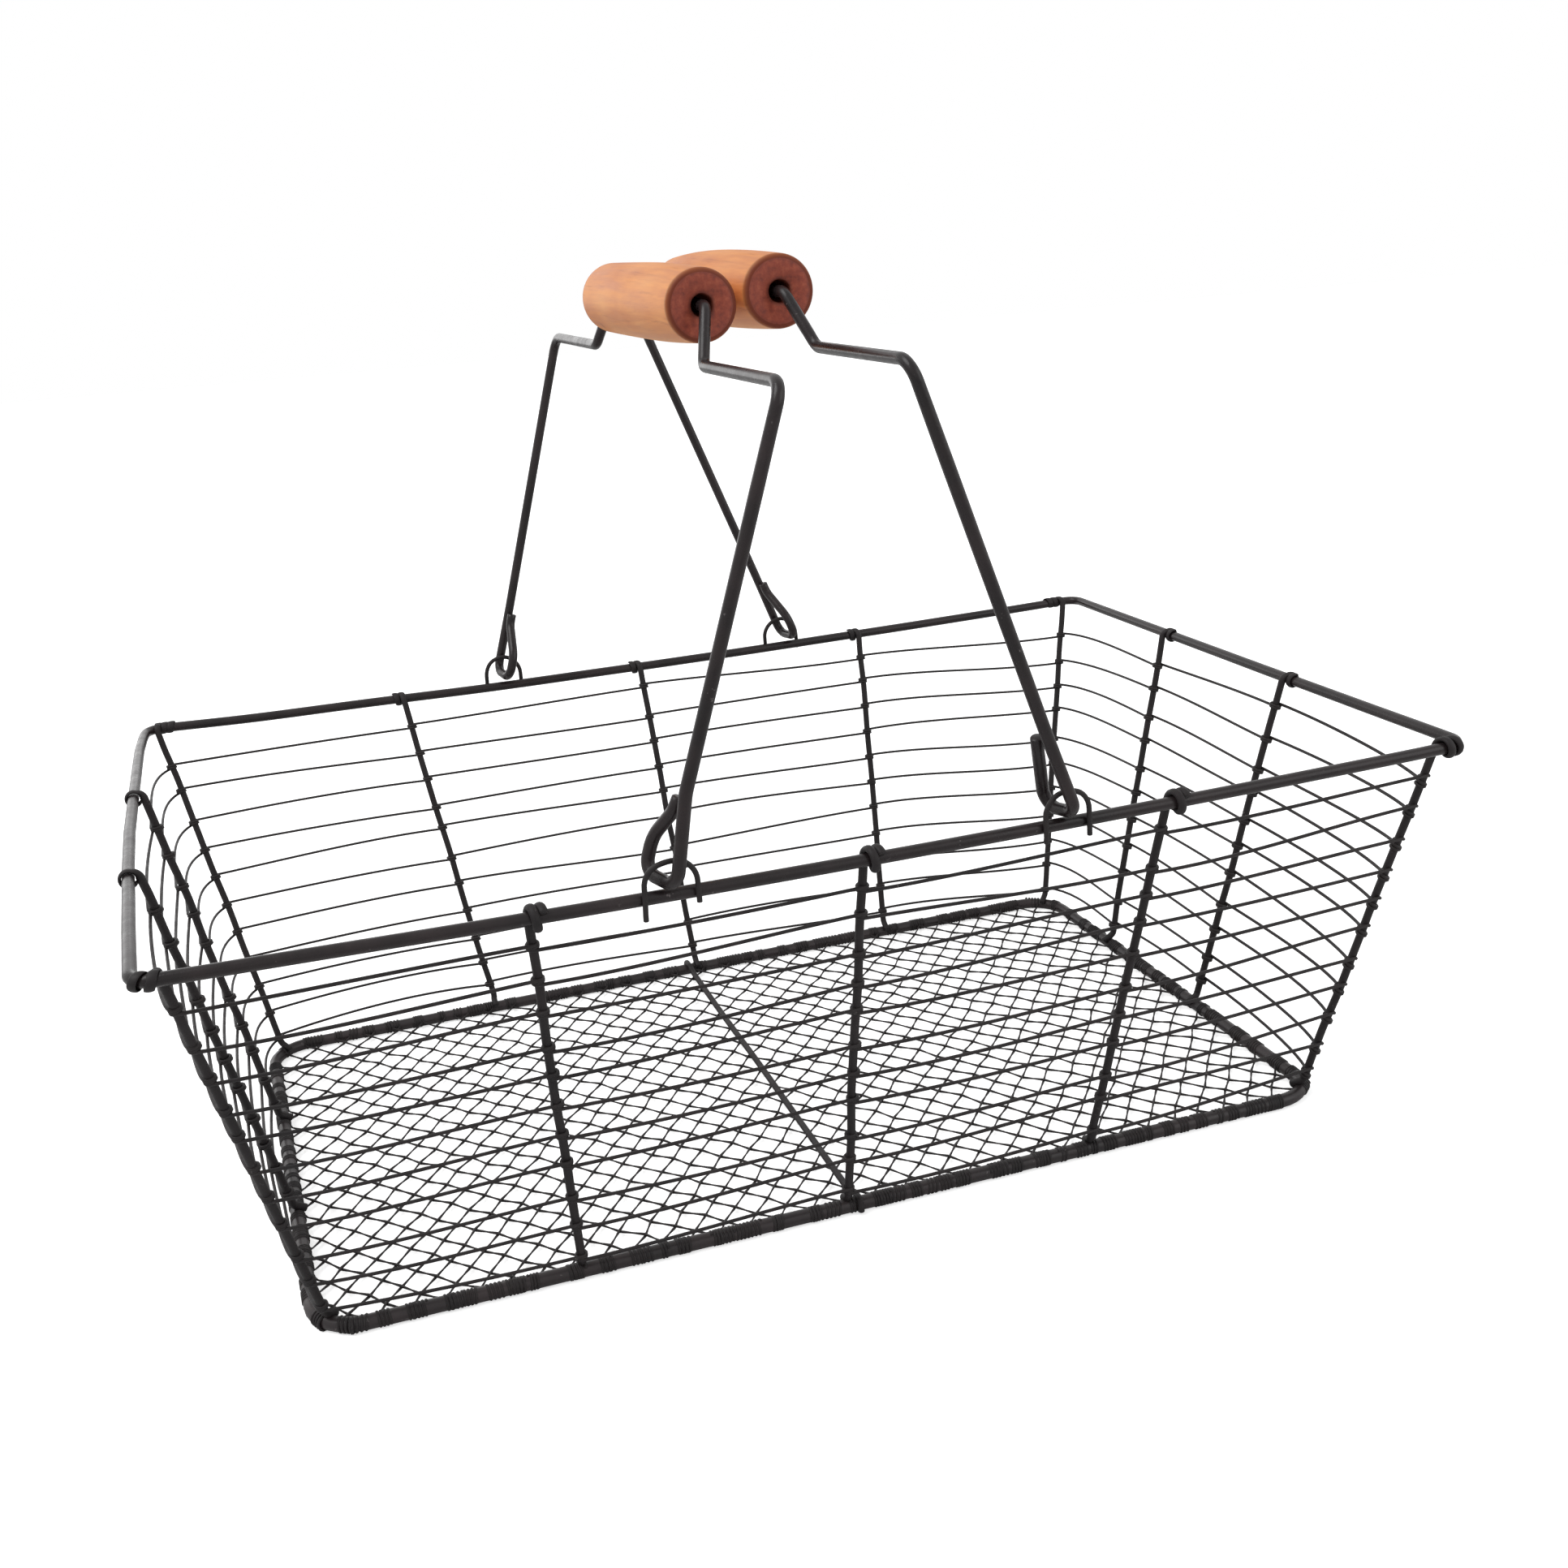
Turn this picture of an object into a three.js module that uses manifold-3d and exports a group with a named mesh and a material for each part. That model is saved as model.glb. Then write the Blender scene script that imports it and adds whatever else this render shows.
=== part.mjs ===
// Wire harvest basket with two folding bails and turned wooden grips.
// Millimetres, +Z up. X runs along the long side, Y across the width. The origin is
// at the centre of the footprint, on the surface the basket stands on.

import * as THREE from 'three';
import { mergeGeometries, mergeVertices } from 'three/addons/utils/BufferGeometryUtils.js';
import Module from 'manifold-3d';

const wasm = await Module();
wasm.setup();

// Rim and base, measured between wire centres
const rimLength = 400;
const rimWidth = 260;
const rimCornerRadius = 6;
const rimDip = 2.4; // sag of each long rim side at its middle
const baseLength = 340;
const baseWidth = 204;
const baseCornerRadius = 15;
const basketDepth = 129; // from the base frame up to the rim

// Wire diameters
const rimWire = 3.5;
const baseWire = 3.6;
const ribWire = 2.4;
const sideWire = 1.0;
const crossWire = 2.0;
const stapleWire = 1.6;
const bailWire = 3.5;

// Gap left where one wire lies against another
const seat = 0.3;

// Upright ribs
const longRibSpacing = 97; // at the rim, from the middle rib to its neighbours
const longRibFootSpacing = 86;
const endRibSpacing = 84; // at the rim, between the two ribs of an end wall
const endRibFootSpacing = 67;
const cornerRibInset = 7.5; // from the end of the rim to a corner rib
const ribHookTurn = 240; // degrees that a rib's top winds over the rim
const hookStep = 30; // degrees
const hookTravel = 2.3; // along the rim, over the whole hook
const toeOut = 0.9; // where a rib bends in over the base frame, from its centre
const toeUp = 4.3;
const toeTipIn = 3.0; // where the bent toe ends, from the same centre
const toeTipUp = 2.3;
const toeBend = 3;

// How far the hand-set ribs of each wall stand off its middle, at the rim and at the foot
const frontRibShift = -1;
const frontFootShift = -4.5;
const backRibShift = -2;
const backFootShift = 4.5;
const leftRibShift = -4;
const leftFootShift = 3;
const rightRibShift = 6.5;
const rightFootShift = 11.5;

// Side wires, evenly spaced down the walls
const sideWireCount = 11;
const firstSideWireDrop = 11.5;
const sideWireSpacing = 10.95;
const sideWireBow = 1.6; // how far a span bulges outward between two ribs

// Floor net and the wire across it
const netStrand = 1.2;
const netThickness = 1.0;
const netCellLength = 24; // along X, corner to corner
const netCellWidth = 28.5; // along Y, corner to corner
const netBorder = 2.4;
const crossWireOffset = 3.4; // from a middle rib's foot, towards the middle
const crossWireRise = 9; // distance from the frame where it starts to climb over it
const crossWireLift = 0.4; // from its ends to the ground

// Bails and the staples that carry them
const stapleSpan = 14;
const stapleHeight = 11; // above the rim wire
const frontStapleTail = 5.2; // below the rim wire
const backStapleTail = 2.6;
const eyeClearance = 0.95; // from an eye to the rim under it
const legClearance = 1.2; // from a bail leg to its staple
const eyeWidth = 13.2;
const eyeStraight = 9; // height of the eye's upright part
const eyeHeight = 23.5;
const eyeTipGap = 1.2; // from the eye's tip to its leg
const eyeBend = 4;
const shoulderHeight = 140.5; // above the pivot, along the right bail
const shoulderReach = 138; // from the middle to the outside bend
const shoulderInner = 68;
const shoulderBend = 6;
const neckBend = 4.5;
const gripHeight = 157.5; // above the pivot, along the right bail
const gripLength = 108;
const gripMiddle = 24; // diameter
const gripEnd = 21; // diameter
const gripEdge = 1.4;
const gripRunning = 0.4; // clearance round the bail wire
const gripMouth = 6.6; // diameter of the wider bore at each end
const gripMouthDepth = 6;
const neckGap = 3.5; // from a grip's end to the bend in the wire
const gripGap = 0.3; // between the two grips where they lean on each other
const rightLean = 19.8; // degrees from upright

// The two bails as bent by hand. shorter is how much the legs and the grip are set lower.
// At each end, staple is the place of the staple's middle along the rim, shift is how far
// the eye hangs from there, turn is the eye's turn about its leg in degrees and knee is how
// far the leg is bent sideways above the eye.
const bails = {
  left: {
    shorter: 5,
    front: { staple: -59.4, shift: -3.3, turn: 28, knee: -3.2 },
    back: { staple: -57.8, shift: -0.1, turn: 12, knee: 0 },
  },
  right: {
    shorter: 0,
    front: { staple: 59.6, shift: -0.8, turn: 15, knee: 0 },
    back: { staple: 61.6, shift: 2.6, turn: 12, knee: 0 },
  },
};

// Paint, bare wood and stained wood
const paint = { color: 0x2e2a2b, roughness: 0.45, metalness: 0.35 };
const thinPaint = { color: 0x272425, roughness: 0.5, metalness: 0.3 };
const wood = { color: 0xe0a068, roughness: 0.55, metalness: 0 };

// Places worked out from the sizes above
const bottomFacet = Math.cos(Math.PI / 8);
const baseZ = (baseWire / 2) * bottomFacet;
const rimZ = baseZ + basketDepth;
const halfLength = rimLength / 2;
const halfWidth = rimWidth / 2;
const ribAtRim = (rimWire + ribWire) / 2 + seat;
const wireOnRib = (ribWire + sideWire) / 2 + seat;
const pivotHeight = (rimWire + bailWire) / 2 + eyeClearance;
const staplePlane = halfWidth + (rimWire + stapleWire) / 2 + seat;
const legPlane = staplePlane + (stapleWire + bailWire) / 2 + legClearance;
const degree = Math.PI / 180;

const basket = new THREE.Group();
basket.name = 'wire_harvest_basket';

function point(x, y, z) {
  return new THREE.Vector3(x, y, z);
}

function place(name, geometry, finish, parent = basket) {
  const mesh = new THREE.Mesh(geometry, new THREE.MeshStandardMaterial(finish));
  mesh.name = name;
  parent.add(mesh);
  return mesh;
}

// Height of the rim wire's centre: the long sides sag between the corners
function rimHeightAt(x) {
  const reach = Math.min(1, Math.abs(x) / (halfLength - rimCornerRadius));
  return rimZ - rimDip * (1 - reach * reach);
}

// A round wire along a chain of points, mitred at each point. A closed wire joins its
// last point to its first. The sides start from the direction given by up.
function wireAlong(points, diameter, sides, closed = false, up = point(0, 0, 1)) {
  const count = points.length;
  const segments = closed ? count : count - 1;
  const along = [];
  for (let i = 0; i < segments; i += 1) {
    along.push(points[(i + 1) % count].clone().sub(points[i]).normalize());
  }
  const positions = [];
  const radius = diameter / 2;
  let across = up.clone().cross(along[0]).normalize();
  for (let i = 0; i < count; i += 1) {
    const before = along[closed ? (i + segments - 1) % segments : Math.max(i - 1, 0)];
    const after = along[Math.min(i, segments - 1)];
    const bisector = before.clone().add(after).normalize();
    if (closed) {
      across = up.clone().cross(after).normalize();
    } else {
      across.addScaledVector(after, -across.dot(after)).normalize();
    }
    const other = after.clone().cross(across);
    for (let side = 0; side < sides; side += 1) {
      const angle = ((side + 0.5) / sides) * 2 * Math.PI;
      const offset = across.clone().multiplyScalar(radius * Math.cos(angle));
      offset.addScaledVector(other, radius * Math.sin(angle));
      offset.addScaledVector(after, -offset.dot(bisector) / after.dot(bisector));
      const corner = points[i].clone().add(offset);
      positions.push(corner.x, corner.y, corner.z);
    }
  }
  const faces = [];
  for (let i = 0; i < segments; i += 1) {
    const here = i * sides;
    const next = ((i + 1) % count) * sides;
    for (let side = 0; side < sides; side += 1) {
      const turn = (side + 1) % sides;
      faces.push(here + side, here + turn, next + turn);
      faces.push(here + side, next + turn, next + side);
    }
  }
  if (!closed) {
    const last = (count - 1) * sides;
    for (let side = 1; side < sides - 1; side += 1) {
      faces.push(0, side + 1, side);
      faces.push(last, last + side, last + side + 1);
    }
  }
  const geometry = new THREE.BufferGeometry();
  geometry.setAttribute('position', new THREE.Float32BufferAttribute(positions, 3));
  geometry.setIndex(faces);
  geometry.computeVertexNormals();
  return geometry;
}

// A chain of points with each inner corner rounded. Each corner is given as its place
// and its bend radius, and steps is the number of chords in a bend.
function bentChain(corners, steps) {
  const chain = [corners[0].at];
  for (let i = 1; i < corners.length - 1; i += 1) {
    const { at, bend } = corners[i];
    const back = corners[i - 1].at.clone().sub(at).normalize();
    const ahead = corners[i + 1].at.clone().sub(at).normalize();
    const halfOpening = Math.acos(THREE.MathUtils.clamp(back.dot(ahead), -1, 1)) / 2;
    if (!bend || Math.PI / 2 - halfOpening < 0.02) {
      chain.push(at);
      continue;
    }
    const inward = back.clone().add(ahead).normalize();
    const centre = at.clone().addScaledVector(inward, bend / Math.sin(halfOpening));
    const start = at.clone().addScaledVector(back, bend / Math.tan(halfOpening)).sub(centre);
    const axis = back.clone().cross(ahead).normalize();
    const sweep = -(Math.PI - 2 * halfOpening);
    for (let step = 0; step <= steps; step += 1) {
      const spoke = start.clone().applyAxisAngle(axis, (sweep * step) / steps);
      chain.push(centre.clone().add(spoke));
    }
  }
  chain.push(corners[corners.length - 1].at);
  return chain;
}

// Points round one quarter of a rounded corner, from the X side to the Y side. The
// chords touch the arc from outside, so the first and last run on into the sides.
function cornerArc(centreX, centreY, radius, chords, signX, signY, z) {
  const arc = [];
  const reach = radius / Math.cos(Math.PI / 4 / chords);
  for (let chord = 0; chord < chords; chord += 1) {
    const angle = ((Math.PI / 2) * (chord + 0.5)) / chords;
    arc.push(point(
      signX * (centreX + reach * Math.cos(angle)),
      signY * (centreY + reach * Math.sin(angle)),
      z,
    ));
  }
  return arc;
}

// A closed rounded rectangle of points. heightAt gives the height over each x, and
// longSteps splits each long side so that it can follow a curve.
function roundedLoop(length, width, radius, cornerChords, longSteps, heightAt) {
  const cx = length / 2 - radius;
  const cy = width / 2 - radius;
  const loop = [];
  for (const [signX, signY] of [[1, 1], [-1, 1], [-1, -1], [1, -1]]) {
    const arc = cornerArc(cx, cy, radius, cornerChords, signX, signY, 0);
    if (signX !== signY) {
      arc.reverse();
    }
    loop.push(...arc);
    if (signX === signY) {
      for (let step = 1; step < longSteps; step += 1) {
        loop.push(point(signX * cx * (1 - (2 * step) / longSteps), (signY * width) / 2, 0));
      }
    }
  }
  for (const spot of loop) {
    spot.z = heightAt(spot.x);
  }
  return loop;
}

// Rim and base frames
function addFrames() {
  const rim = roundedLoop(rimLength, rimWidth, rimCornerRadius, 4, 8, rimHeightAt);
  place('rim_frame', wireAlong(rim, rimWire, 8, true), paint);
  const base = roundedLoop(baseLength, baseWidth, baseCornerRadius, 5, 1, () => baseZ);
  place('base_frame', wireAlong(base, baseWire, 8, true), paint);
}

// Where each rib hangs on the rim and where it stands on the base frame. out and
// footOut point away from the basket at those two places, and run is the way the rib's
// hook travels along the rim.
function ribPlans() {
  const plans = [];
  const columns = [['left', -1], ['middle', 0], ['right', 1]];
  const walls = [['front', -1, frontRibShift, frontFootShift], ['back', 1, backRibShift, backFootShift]];
  const ends = [['left', -1, leftRibShift, leftFootShift], ['right', 1, rightRibShift, rightFootShift]];
  const toCornerMiddle = baseCornerRadius * (1 - Math.SQRT1_2);
  for (const [wall, signY, rimShift, footShift] of walls) {
    for (const [column, across] of columns) {
      plans.push({
        name: `${wall}_rib_${column}`,
        rim: point(rimShift + across * longRibSpacing, signY * halfWidth, 0),
        foot: point(footShift + across * longRibFootSpacing, (signY * baseWidth) / 2, baseZ),
        out: point(0, signY, 0),
        footOut: point(0, signY, 0),
        run: point(-signY, 0, 0),
      });
    }
    for (const [end, signX] of ends) {
      plans.push({
        name: `corner_rib_${wall}_${end}`,
        rim: point(signX * (halfLength - cornerRibInset), signY * halfWidth, 0),
        foot: point(
          signX * (baseLength / 2 - toCornerMiddle),
          signY * (baseWidth / 2 - toCornerMiddle),
          baseZ,
        ),
        out: point(0, signY, 0),
        footOut: point(signX, signY, 0).normalize(),
        run: point(-signX, 0, 0),
      });
    }
  }
  for (const [end, signX, rimShift, footShift] of ends) {
    for (const [wall, signY] of walls) {
      plans.push({
        name: `${end}_rib_${wall}`,
        rim: point(signX * halfLength, rimShift + (signY * endRibSpacing) / 2, 0),
        foot: point((signX * baseLength) / 2, footShift + (signY * endRibFootSpacing) / 2, baseZ),
        out: point(signX, 0, 0),
        footOut: point(signX, 0, 0),
        run: point(0, -1, 0),
      });
    }
  }
  for (const plan of plans) {
    // The end walls hang on the level short sides, the long walls on the sagging ones
    plan.rim.z = plan.out.x === 0 ? rimHeightAt(plan.rim.x) : rimZ;
    plan.top = plan.rim.clone().addScaledVector(plan.out, -ribAtRim);
    plan.toe = plan.foot.clone().addScaledVector(plan.footOut, toeOut);
    plan.toe.z += toeUp;
    plan.tip = plan.foot.clone().addScaledVector(plan.footOut, -toeTipIn);
    plan.tip.z += toeTipUp;
  }
  return plans;
}

// A rib starts with a hook that winds over the rim from inside, comes down inside it and
// ends in a toe that is bent in over the base frame
function addRibs(plans) {
  const radius = ribAtRim / Math.cos((hookStep / 2) * degree);
  for (const plan of plans) {
    const chain = [];
    for (let angle = ribHookTurn; angle > 0; angle -= hookStep) {
      const spot = plan.rim.clone();
      spot.addScaledVector(plan.out, -radius * Math.cos(angle * degree));
      spot.addScaledVector(plan.run, (hookTravel * angle) / ribHookTurn);
      spot.z += radius * Math.sin(angle * degree);
      chain.push(spot);
    }
    chain.push(...bentChain([{ at: plan.top }, { at: plan.toe, bend: toeBend }, { at: plan.tip }], 2));
    place(plan.name, wireAlong(chain, ribWire, 6, false, plan.run), paint);
  }
}

// Centre of a rib's straight part at a height
function ribAt(plan, z) {
  return plan.top.clone().lerp(plan.toe, (plan.top.z - z) / (plan.top.z - plan.toe.z));
}

// The level direction out of the basket, square to the way from one post to the next
function outward(from, to) {
  return point(to.y - from.y, from.x - to.x, 0).normalize();
}

// Side wires: closed rings, each laid like a belt round the outside of all ribs, with
// every span bowed outward a little
function addSideWires(plans) {
  const sharp = 20 * degree;
  for (let ring = 0; ring < sideWireCount; ring += 1) {
    const z = rimZ - firstSideWireDrop - ring * sideWireSpacing;
    const posts = plans.map((plan) => ribAt(plan, z));
    posts.sort((a, b) => Math.atan2(a.y, a.x) - Math.atan2(b.y, b.x));
    const loop = [];
    posts.forEach((post, i) => {
      const next = posts[(i + 1) % posts.length];
      const arriving = outward(posts.at(i - 1), post);
      const leaving = outward(post, next);
      const turn = arriving.angleTo(leaving);
      const chords = turn > sharp ? 2 : 1;
      const reach = wireOnRib / Math.cos(turn / 2 / chords);
      for (let chord = 0; chord < chords; chord += 1) {
        const share = (chord + 0.5) / chords;
        const way = arriving.clone().applyAxisAngle(point(0, 0, 1), turn * share);
        loop.push(post.clone().addScaledVector(way, reach));
      }
      const bow = sideWireBow * Math.min(1, post.distanceTo(next) / longRibFootSpacing);
      loop.push(post.clone().lerp(next, 0.5).addScaledVector(leaving, wireOnRib + bow));
    });
    const name = `side_wire_${String(ring + 1).padStart(2, '0')}`;
    place(name, wireAlong(loop, sideWire, 5, true), thinPaint);
  }
}

// A flat plate with rounded corners, standing on z = 0
function roundedPlate(length, width, radius, thickness) {
  const cx = length / 2 - radius;
  const cy = width / 2 - radius;
  const corners = [[cx, cy, 0], [-cx, cy, 1], [-cx, -cy, 2], [cx, -cy, 3]];
  const steps = 5;
  const shape = new THREE.Shape();
  for (const [x, y, quarter] of corners) {
    for (let step = 0; step <= steps; step += 1) {
      const angle = (Math.PI / 2) * (quarter + step / steps);
      const spot = [x + radius * Math.cos(angle), y + radius * Math.sin(angle)];
      if (quarter === 0 && step === 0) {
        shape.moveTo(...spot);
      } else {
        shape.lineTo(...spot);
      }
    }
  }
  return new THREE.ExtrudeGeometry(shape, { depth: thickness, bevelEnabled: false });
}

// A closed three.js geometry as a solid for cutting and joining
function solidOf(geometry) {
  const bare = geometry.clone();
  bare.deleteAttribute('normal');
  bare.deleteAttribute('uv');
  const merged = mergeVertices(bare, 1e-4);
  return new wasm.Manifold(new wasm.Mesh({
    numProp: 3,
    vertProperties: new Float32Array(merged.attributes.position.array),
    triVerts: new Uint32Array(merged.index.array),
  }));
}

function geometryOf(solid) {
  const mesh = solid.getMesh();
  const geometry = new THREE.BufferGeometry();
  geometry.setAttribute('position', new THREE.BufferAttribute(mesh.vertProperties, 3));
  geometry.setIndex(new THREE.BufferAttribute(mesh.triVerts, 1));
  geometry.computeVertexNormals();
  return geometry;
}

// Floor net: one flat sheet inside the base frame, with diamond gaps cut through it.
// The gaps end at a border all round.
function addNet() {
  const inset = baseWire / 2 + seat;
  const length = baseLength - 2 * inset;
  const width = baseWidth - 2 * inset;
  const radius = baseCornerRadius - inset;
  const sheet = solidOf(roundedPlate(length, width, radius, netThickness));
  const openArea = roundedPlate(
    length - 2 * netBorder,
    width - 2 * netBorder,
    radius - netBorder,
    3 * netThickness,
  );
  openArea.translate(0, 0, -netThickness);
  // A gap is the cell less half a strand, measured square to the strand, on each side
  const diagonal = Math.hypot(netCellLength, netCellWidth);
  const shrink = 1 - (netStrand * diagonal) / (netCellLength * netCellWidth);
  const halfGapX = (netCellLength / 2) * shrink;
  const halfGapY = (netCellWidth / 2) * shrink;
  const columns = Math.round((length / 2 - netBorder) / (netCellLength / 2));
  const rows = Math.round((width / 2 - netBorder) / (netCellWidth / 2));
  const gaps = [];
  for (let row = -rows; row <= rows; row += 1) {
    for (let column = -columns; column <= columns; column += 1) {
      const inCorner = Math.abs(row) === rows && Math.abs(column) === columns;
      if ((row + column) % 2 !== 0 || inCorner) {
        continue;
      }
      const gap = new THREE.CylinderGeometry(1, 1, 2 * netThickness, 4);
      gap.rotateX(Math.PI / 2);
      gap.scale(halfGapX, halfGapY, 1);
      gap.translate((column * netCellLength) / 2, (row * netCellWidth) / 2, netThickness / 2);
      gaps.push(gap);
    }
  }
  const holes = solidOf(mergeGeometries(gaps)).intersect(solidOf(openArea));
  const net = place('floor_net', geometryOf(sheet.subtract(holes)), thinPaint);
  net.position.z = baseZ - netThickness / 2;
}

// Wire across the floor: it lies on the net beside the middle ribs' feet and hooks over
// both long sides of the frame
function addCrossWire() {
  const low = baseZ + netThickness / 2 + seat + crossWire / 2;
  const over = (baseWire + crossWire) / 2 + seat;
  const edge = baseWidth / 2;
  const hookedEnd = (x, signY) => [
    { at: point(x, signY * (edge - crossWireRise), low), bend: 6 },
    { at: point(x, signY * (edge - over), baseZ + over), bend: 3 },
    { at: point(x, signY * (edge + over), baseZ + over), bend: over * 0.9 },
    { at: point(x, signY * (edge + over), crossWireLift) },
  ];
  const front = hookedEnd(frontFootShift + crossWireOffset, -1).reverse();
  const back = hookedEnd(backFootShift - crossWireOffset, 1);
  const chain = bentChain([...front, ...back], 4);
  place('floor_cross_wire', wireAlong(chain, crossWire, 6, false, point(1, 0, 0)), paint);
}

// Staples: an arch of thin wire against the outer face of the rim at each hinge
function addStaples() {
  const halfSpan = stapleSpan / 2;
  for (const [wall, signY, tail] of [['front', -1, frontStapleTail], ['back', 1, backStapleTail]]) {
    for (const [end, bail] of Object.entries(bails)) {
      const x = bail[wall].staple;
      const chain = [point(-halfSpan, 0, -tail)];
      for (let step = 0; step <= 8; step += 1) {
        const angle = Math.PI * (1 - step / 8);
        const top = stapleHeight - halfSpan;
        chain.push(point(halfSpan * Math.cos(angle), 0, top + halfSpan * Math.sin(angle)));
      }
      chain.push(point(halfSpan, 0, -tail));
      const geometry = wireAlong(chain, stapleWire, 6, false, point(0, 1, 0));
      const mesh = place(`bail_staple_${wall}_${end}`, geometry, thinPaint);
      mesh.position.set(x, signY * staplePlane, rimHeightAt(x));
    }
  }
}

// The eye at one end of a bail, from its tip to the top of its leg's lowest part. X is
// square to the bail, Y runs along the hinge axis and Z up along the bail.
function eyeCorners(signY, { turn, knee }) {
  const angle = turn * degree;
  const legX = (legPlane - halfWidth) * Math.tan(angle);
  // a is the distance from the leg towards the eye's far side
  const spot = (a, up) => point(
    -signY * (legX - a * Math.sin(angle)),
    signY * (legPlane - a * Math.cos(angle)),
    up,
  );
  const tip = bailWire + eyeTipGap;
  return [
    { at: spot(tip, eyeHeight) },
    { at: spot(tip, eyeHeight - 4), bend: 6 },
    { at: spot(eyeWidth, eyeStraight), bend: 7 },
    { at: spot(eyeWidth, 0), bend: eyeBend },
    { at: spot(0, 0), bend: eyeBend },
    { at: spot(0, eyeHeight + 3).add(point(knee, 0, 0)), bend: 20 },
  ];
}

// The upper bends at one end of a bail, from the shoulder to the grip
function shoulderCorners(signY, shorter) {
  return [
    { at: point(0, signY * shoulderReach, shoulderHeight - shorter), bend: shoulderBend },
    { at: point(0, signY * shoulderInner, shoulderHeight - shorter), bend: neckBend },
    { at: point(0, signY * (gripLength / 2 + neckGap), gripHeight - shorter), bend: neckBend },
  ];
}

// A grip: a barrel with a stained, slightly rounded end and a bore that widens at both
// mouths. It is turned about its own axis, which then lies along Y.
function gripGeometry() {
  const half = gripLength / 2;
  const bore = bailWire / 2 + gripRunning;
  const mouth = gripMouth / 2;
  const profile = [
    new THREE.Vector2(bore, -half + gripMouthDepth),
    new THREE.Vector2(mouth, -half + gripMouthDepth - 1),
    new THREE.Vector2(mouth, -half),
    new THREE.Vector2(gripEnd / 2 - gripEdge, -half),
  ];
  const stations = 6;
  for (let step = 0; step <= stations; step += 1) {
    const reach = (2 * step) / stations - 1;
    const radius = gripMiddle / 2 - ((gripMiddle - gripEnd) / 2) * reach * reach;
    profile.push(new THREE.Vector2(radius, reach * (half - gripEdge)));
  }
  profile.push(new THREE.Vector2(gripEnd / 2 - gripEdge, half));
  profile.push(new THREE.Vector2(mouth, half));
  profile.push(new THREE.Vector2(mouth, half - gripMouthDepth + 1));
  profile.push(new THREE.Vector2(bore, half - gripMouthDepth));
  profile.push(profile[0].clone());
  return new THREE.LatheGeometry(profile, 20);
}

// Where each bail hangs: the middle and the turn of its hinge axis, and its lean. The left
// bail leans until its grip meets the right one with gripGap between them.
function bailPlans() {
  const [left, right] = [bails.left, bails.right].map(({ shorter, front, back }) => {
    const frontX = front.staple + front.shift;
    const backX = back.staple + back.shift;
    const x = (frontX + backX) / 2;
    return {
      arm: gripHeight - shorter,
      middle: point(x, 0, rimHeightAt(x) + pivotHeight),
      yaw: -Math.atan((backX - frontX) / rimWidth),
    };
  });
  right.lean = -rightLean * degree;
  const meeting = point(0, 0, right.arm).applyAxisAngle(point(0, 1, 0), right.lean);
  meeting.add(right.middle).sub(left.middle);
  const apart = gripMiddle + gripGap;
  const away = meeting.length();
  const spread = (left.arm ** 2 + away ** 2 - apart ** 2) / (2 * left.arm * away);
  left.lean = Math.atan2(meeting.x, meeting.z) - Math.acos(spread);
  return { left, right };
}

function addBails() {
  const grip = gripGeometry();
  for (const [end, { arm, middle, yaw, lean }] of Object.entries(bailPlans())) {
    const { shorter, front, back } = bails[end];
    const eyeTurn = new THREE.Euler(0, lean, yaw, 'ZYX');
    const straight = new THREE.Euler(0, lean, 0);
    const hung = (corners, turn) => corners.map(({ at, bend }) => (
      { at: at.applyEuler(turn).add(middle), bend }
    ));
    const chain = bentChain([
      ...hung(eyeCorners(-1, front), eyeTurn),
      ...hung(shoulderCorners(-1, shorter), straight),
      ...hung(shoulderCorners(1, shorter).reverse(), straight),
      ...hung(eyeCorners(1, back).reverse(), eyeTurn),
    ], 5);
    place(`${end}_bail_wire`, wireAlong(chain, bailWire, 8, false, point(1, 0, 0)), paint);
    const handle = place(`${end}_grip`, grip.clone(), wood);
    handle.rotation.copy(straight);
    handle.position.set(0, 0, arm).applyEuler(straight).add(middle);
  }
}

const plans = ribPlans();
addFrames();
addRibs(plans);
addSideWires(plans);
addNet();
addCrossWire();
addStaples();
addBails();

export default basket;
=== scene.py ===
import math

import bpy
import numpy as np
from mathutils import Matrix, Vector


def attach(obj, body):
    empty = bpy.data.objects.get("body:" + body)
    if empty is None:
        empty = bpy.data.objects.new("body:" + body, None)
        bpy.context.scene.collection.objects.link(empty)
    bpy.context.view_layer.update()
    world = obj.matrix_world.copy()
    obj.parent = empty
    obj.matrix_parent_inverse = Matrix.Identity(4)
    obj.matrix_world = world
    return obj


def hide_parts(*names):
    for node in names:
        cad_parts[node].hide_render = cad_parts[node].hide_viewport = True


# Looks of the wire harvest basket. Sizes are in millimetres and in the CAD frame, and
# MM turns them into metres. The stage, the lamps and the camera are in metres.

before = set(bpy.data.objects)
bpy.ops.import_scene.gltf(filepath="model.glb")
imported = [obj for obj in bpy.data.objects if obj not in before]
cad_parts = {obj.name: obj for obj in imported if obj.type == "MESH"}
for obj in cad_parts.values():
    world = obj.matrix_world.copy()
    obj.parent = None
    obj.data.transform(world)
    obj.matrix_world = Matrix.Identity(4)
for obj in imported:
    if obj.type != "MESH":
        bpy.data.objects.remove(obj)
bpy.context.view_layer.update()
rng = np.random.default_rng(7)
MM = 0.001

# Frames, between wire centres
RIM_LENGTH, RIM_WIDTH, RIM_CORNER, RIM_DIP = 400, 260, 6, 2.4
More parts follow.
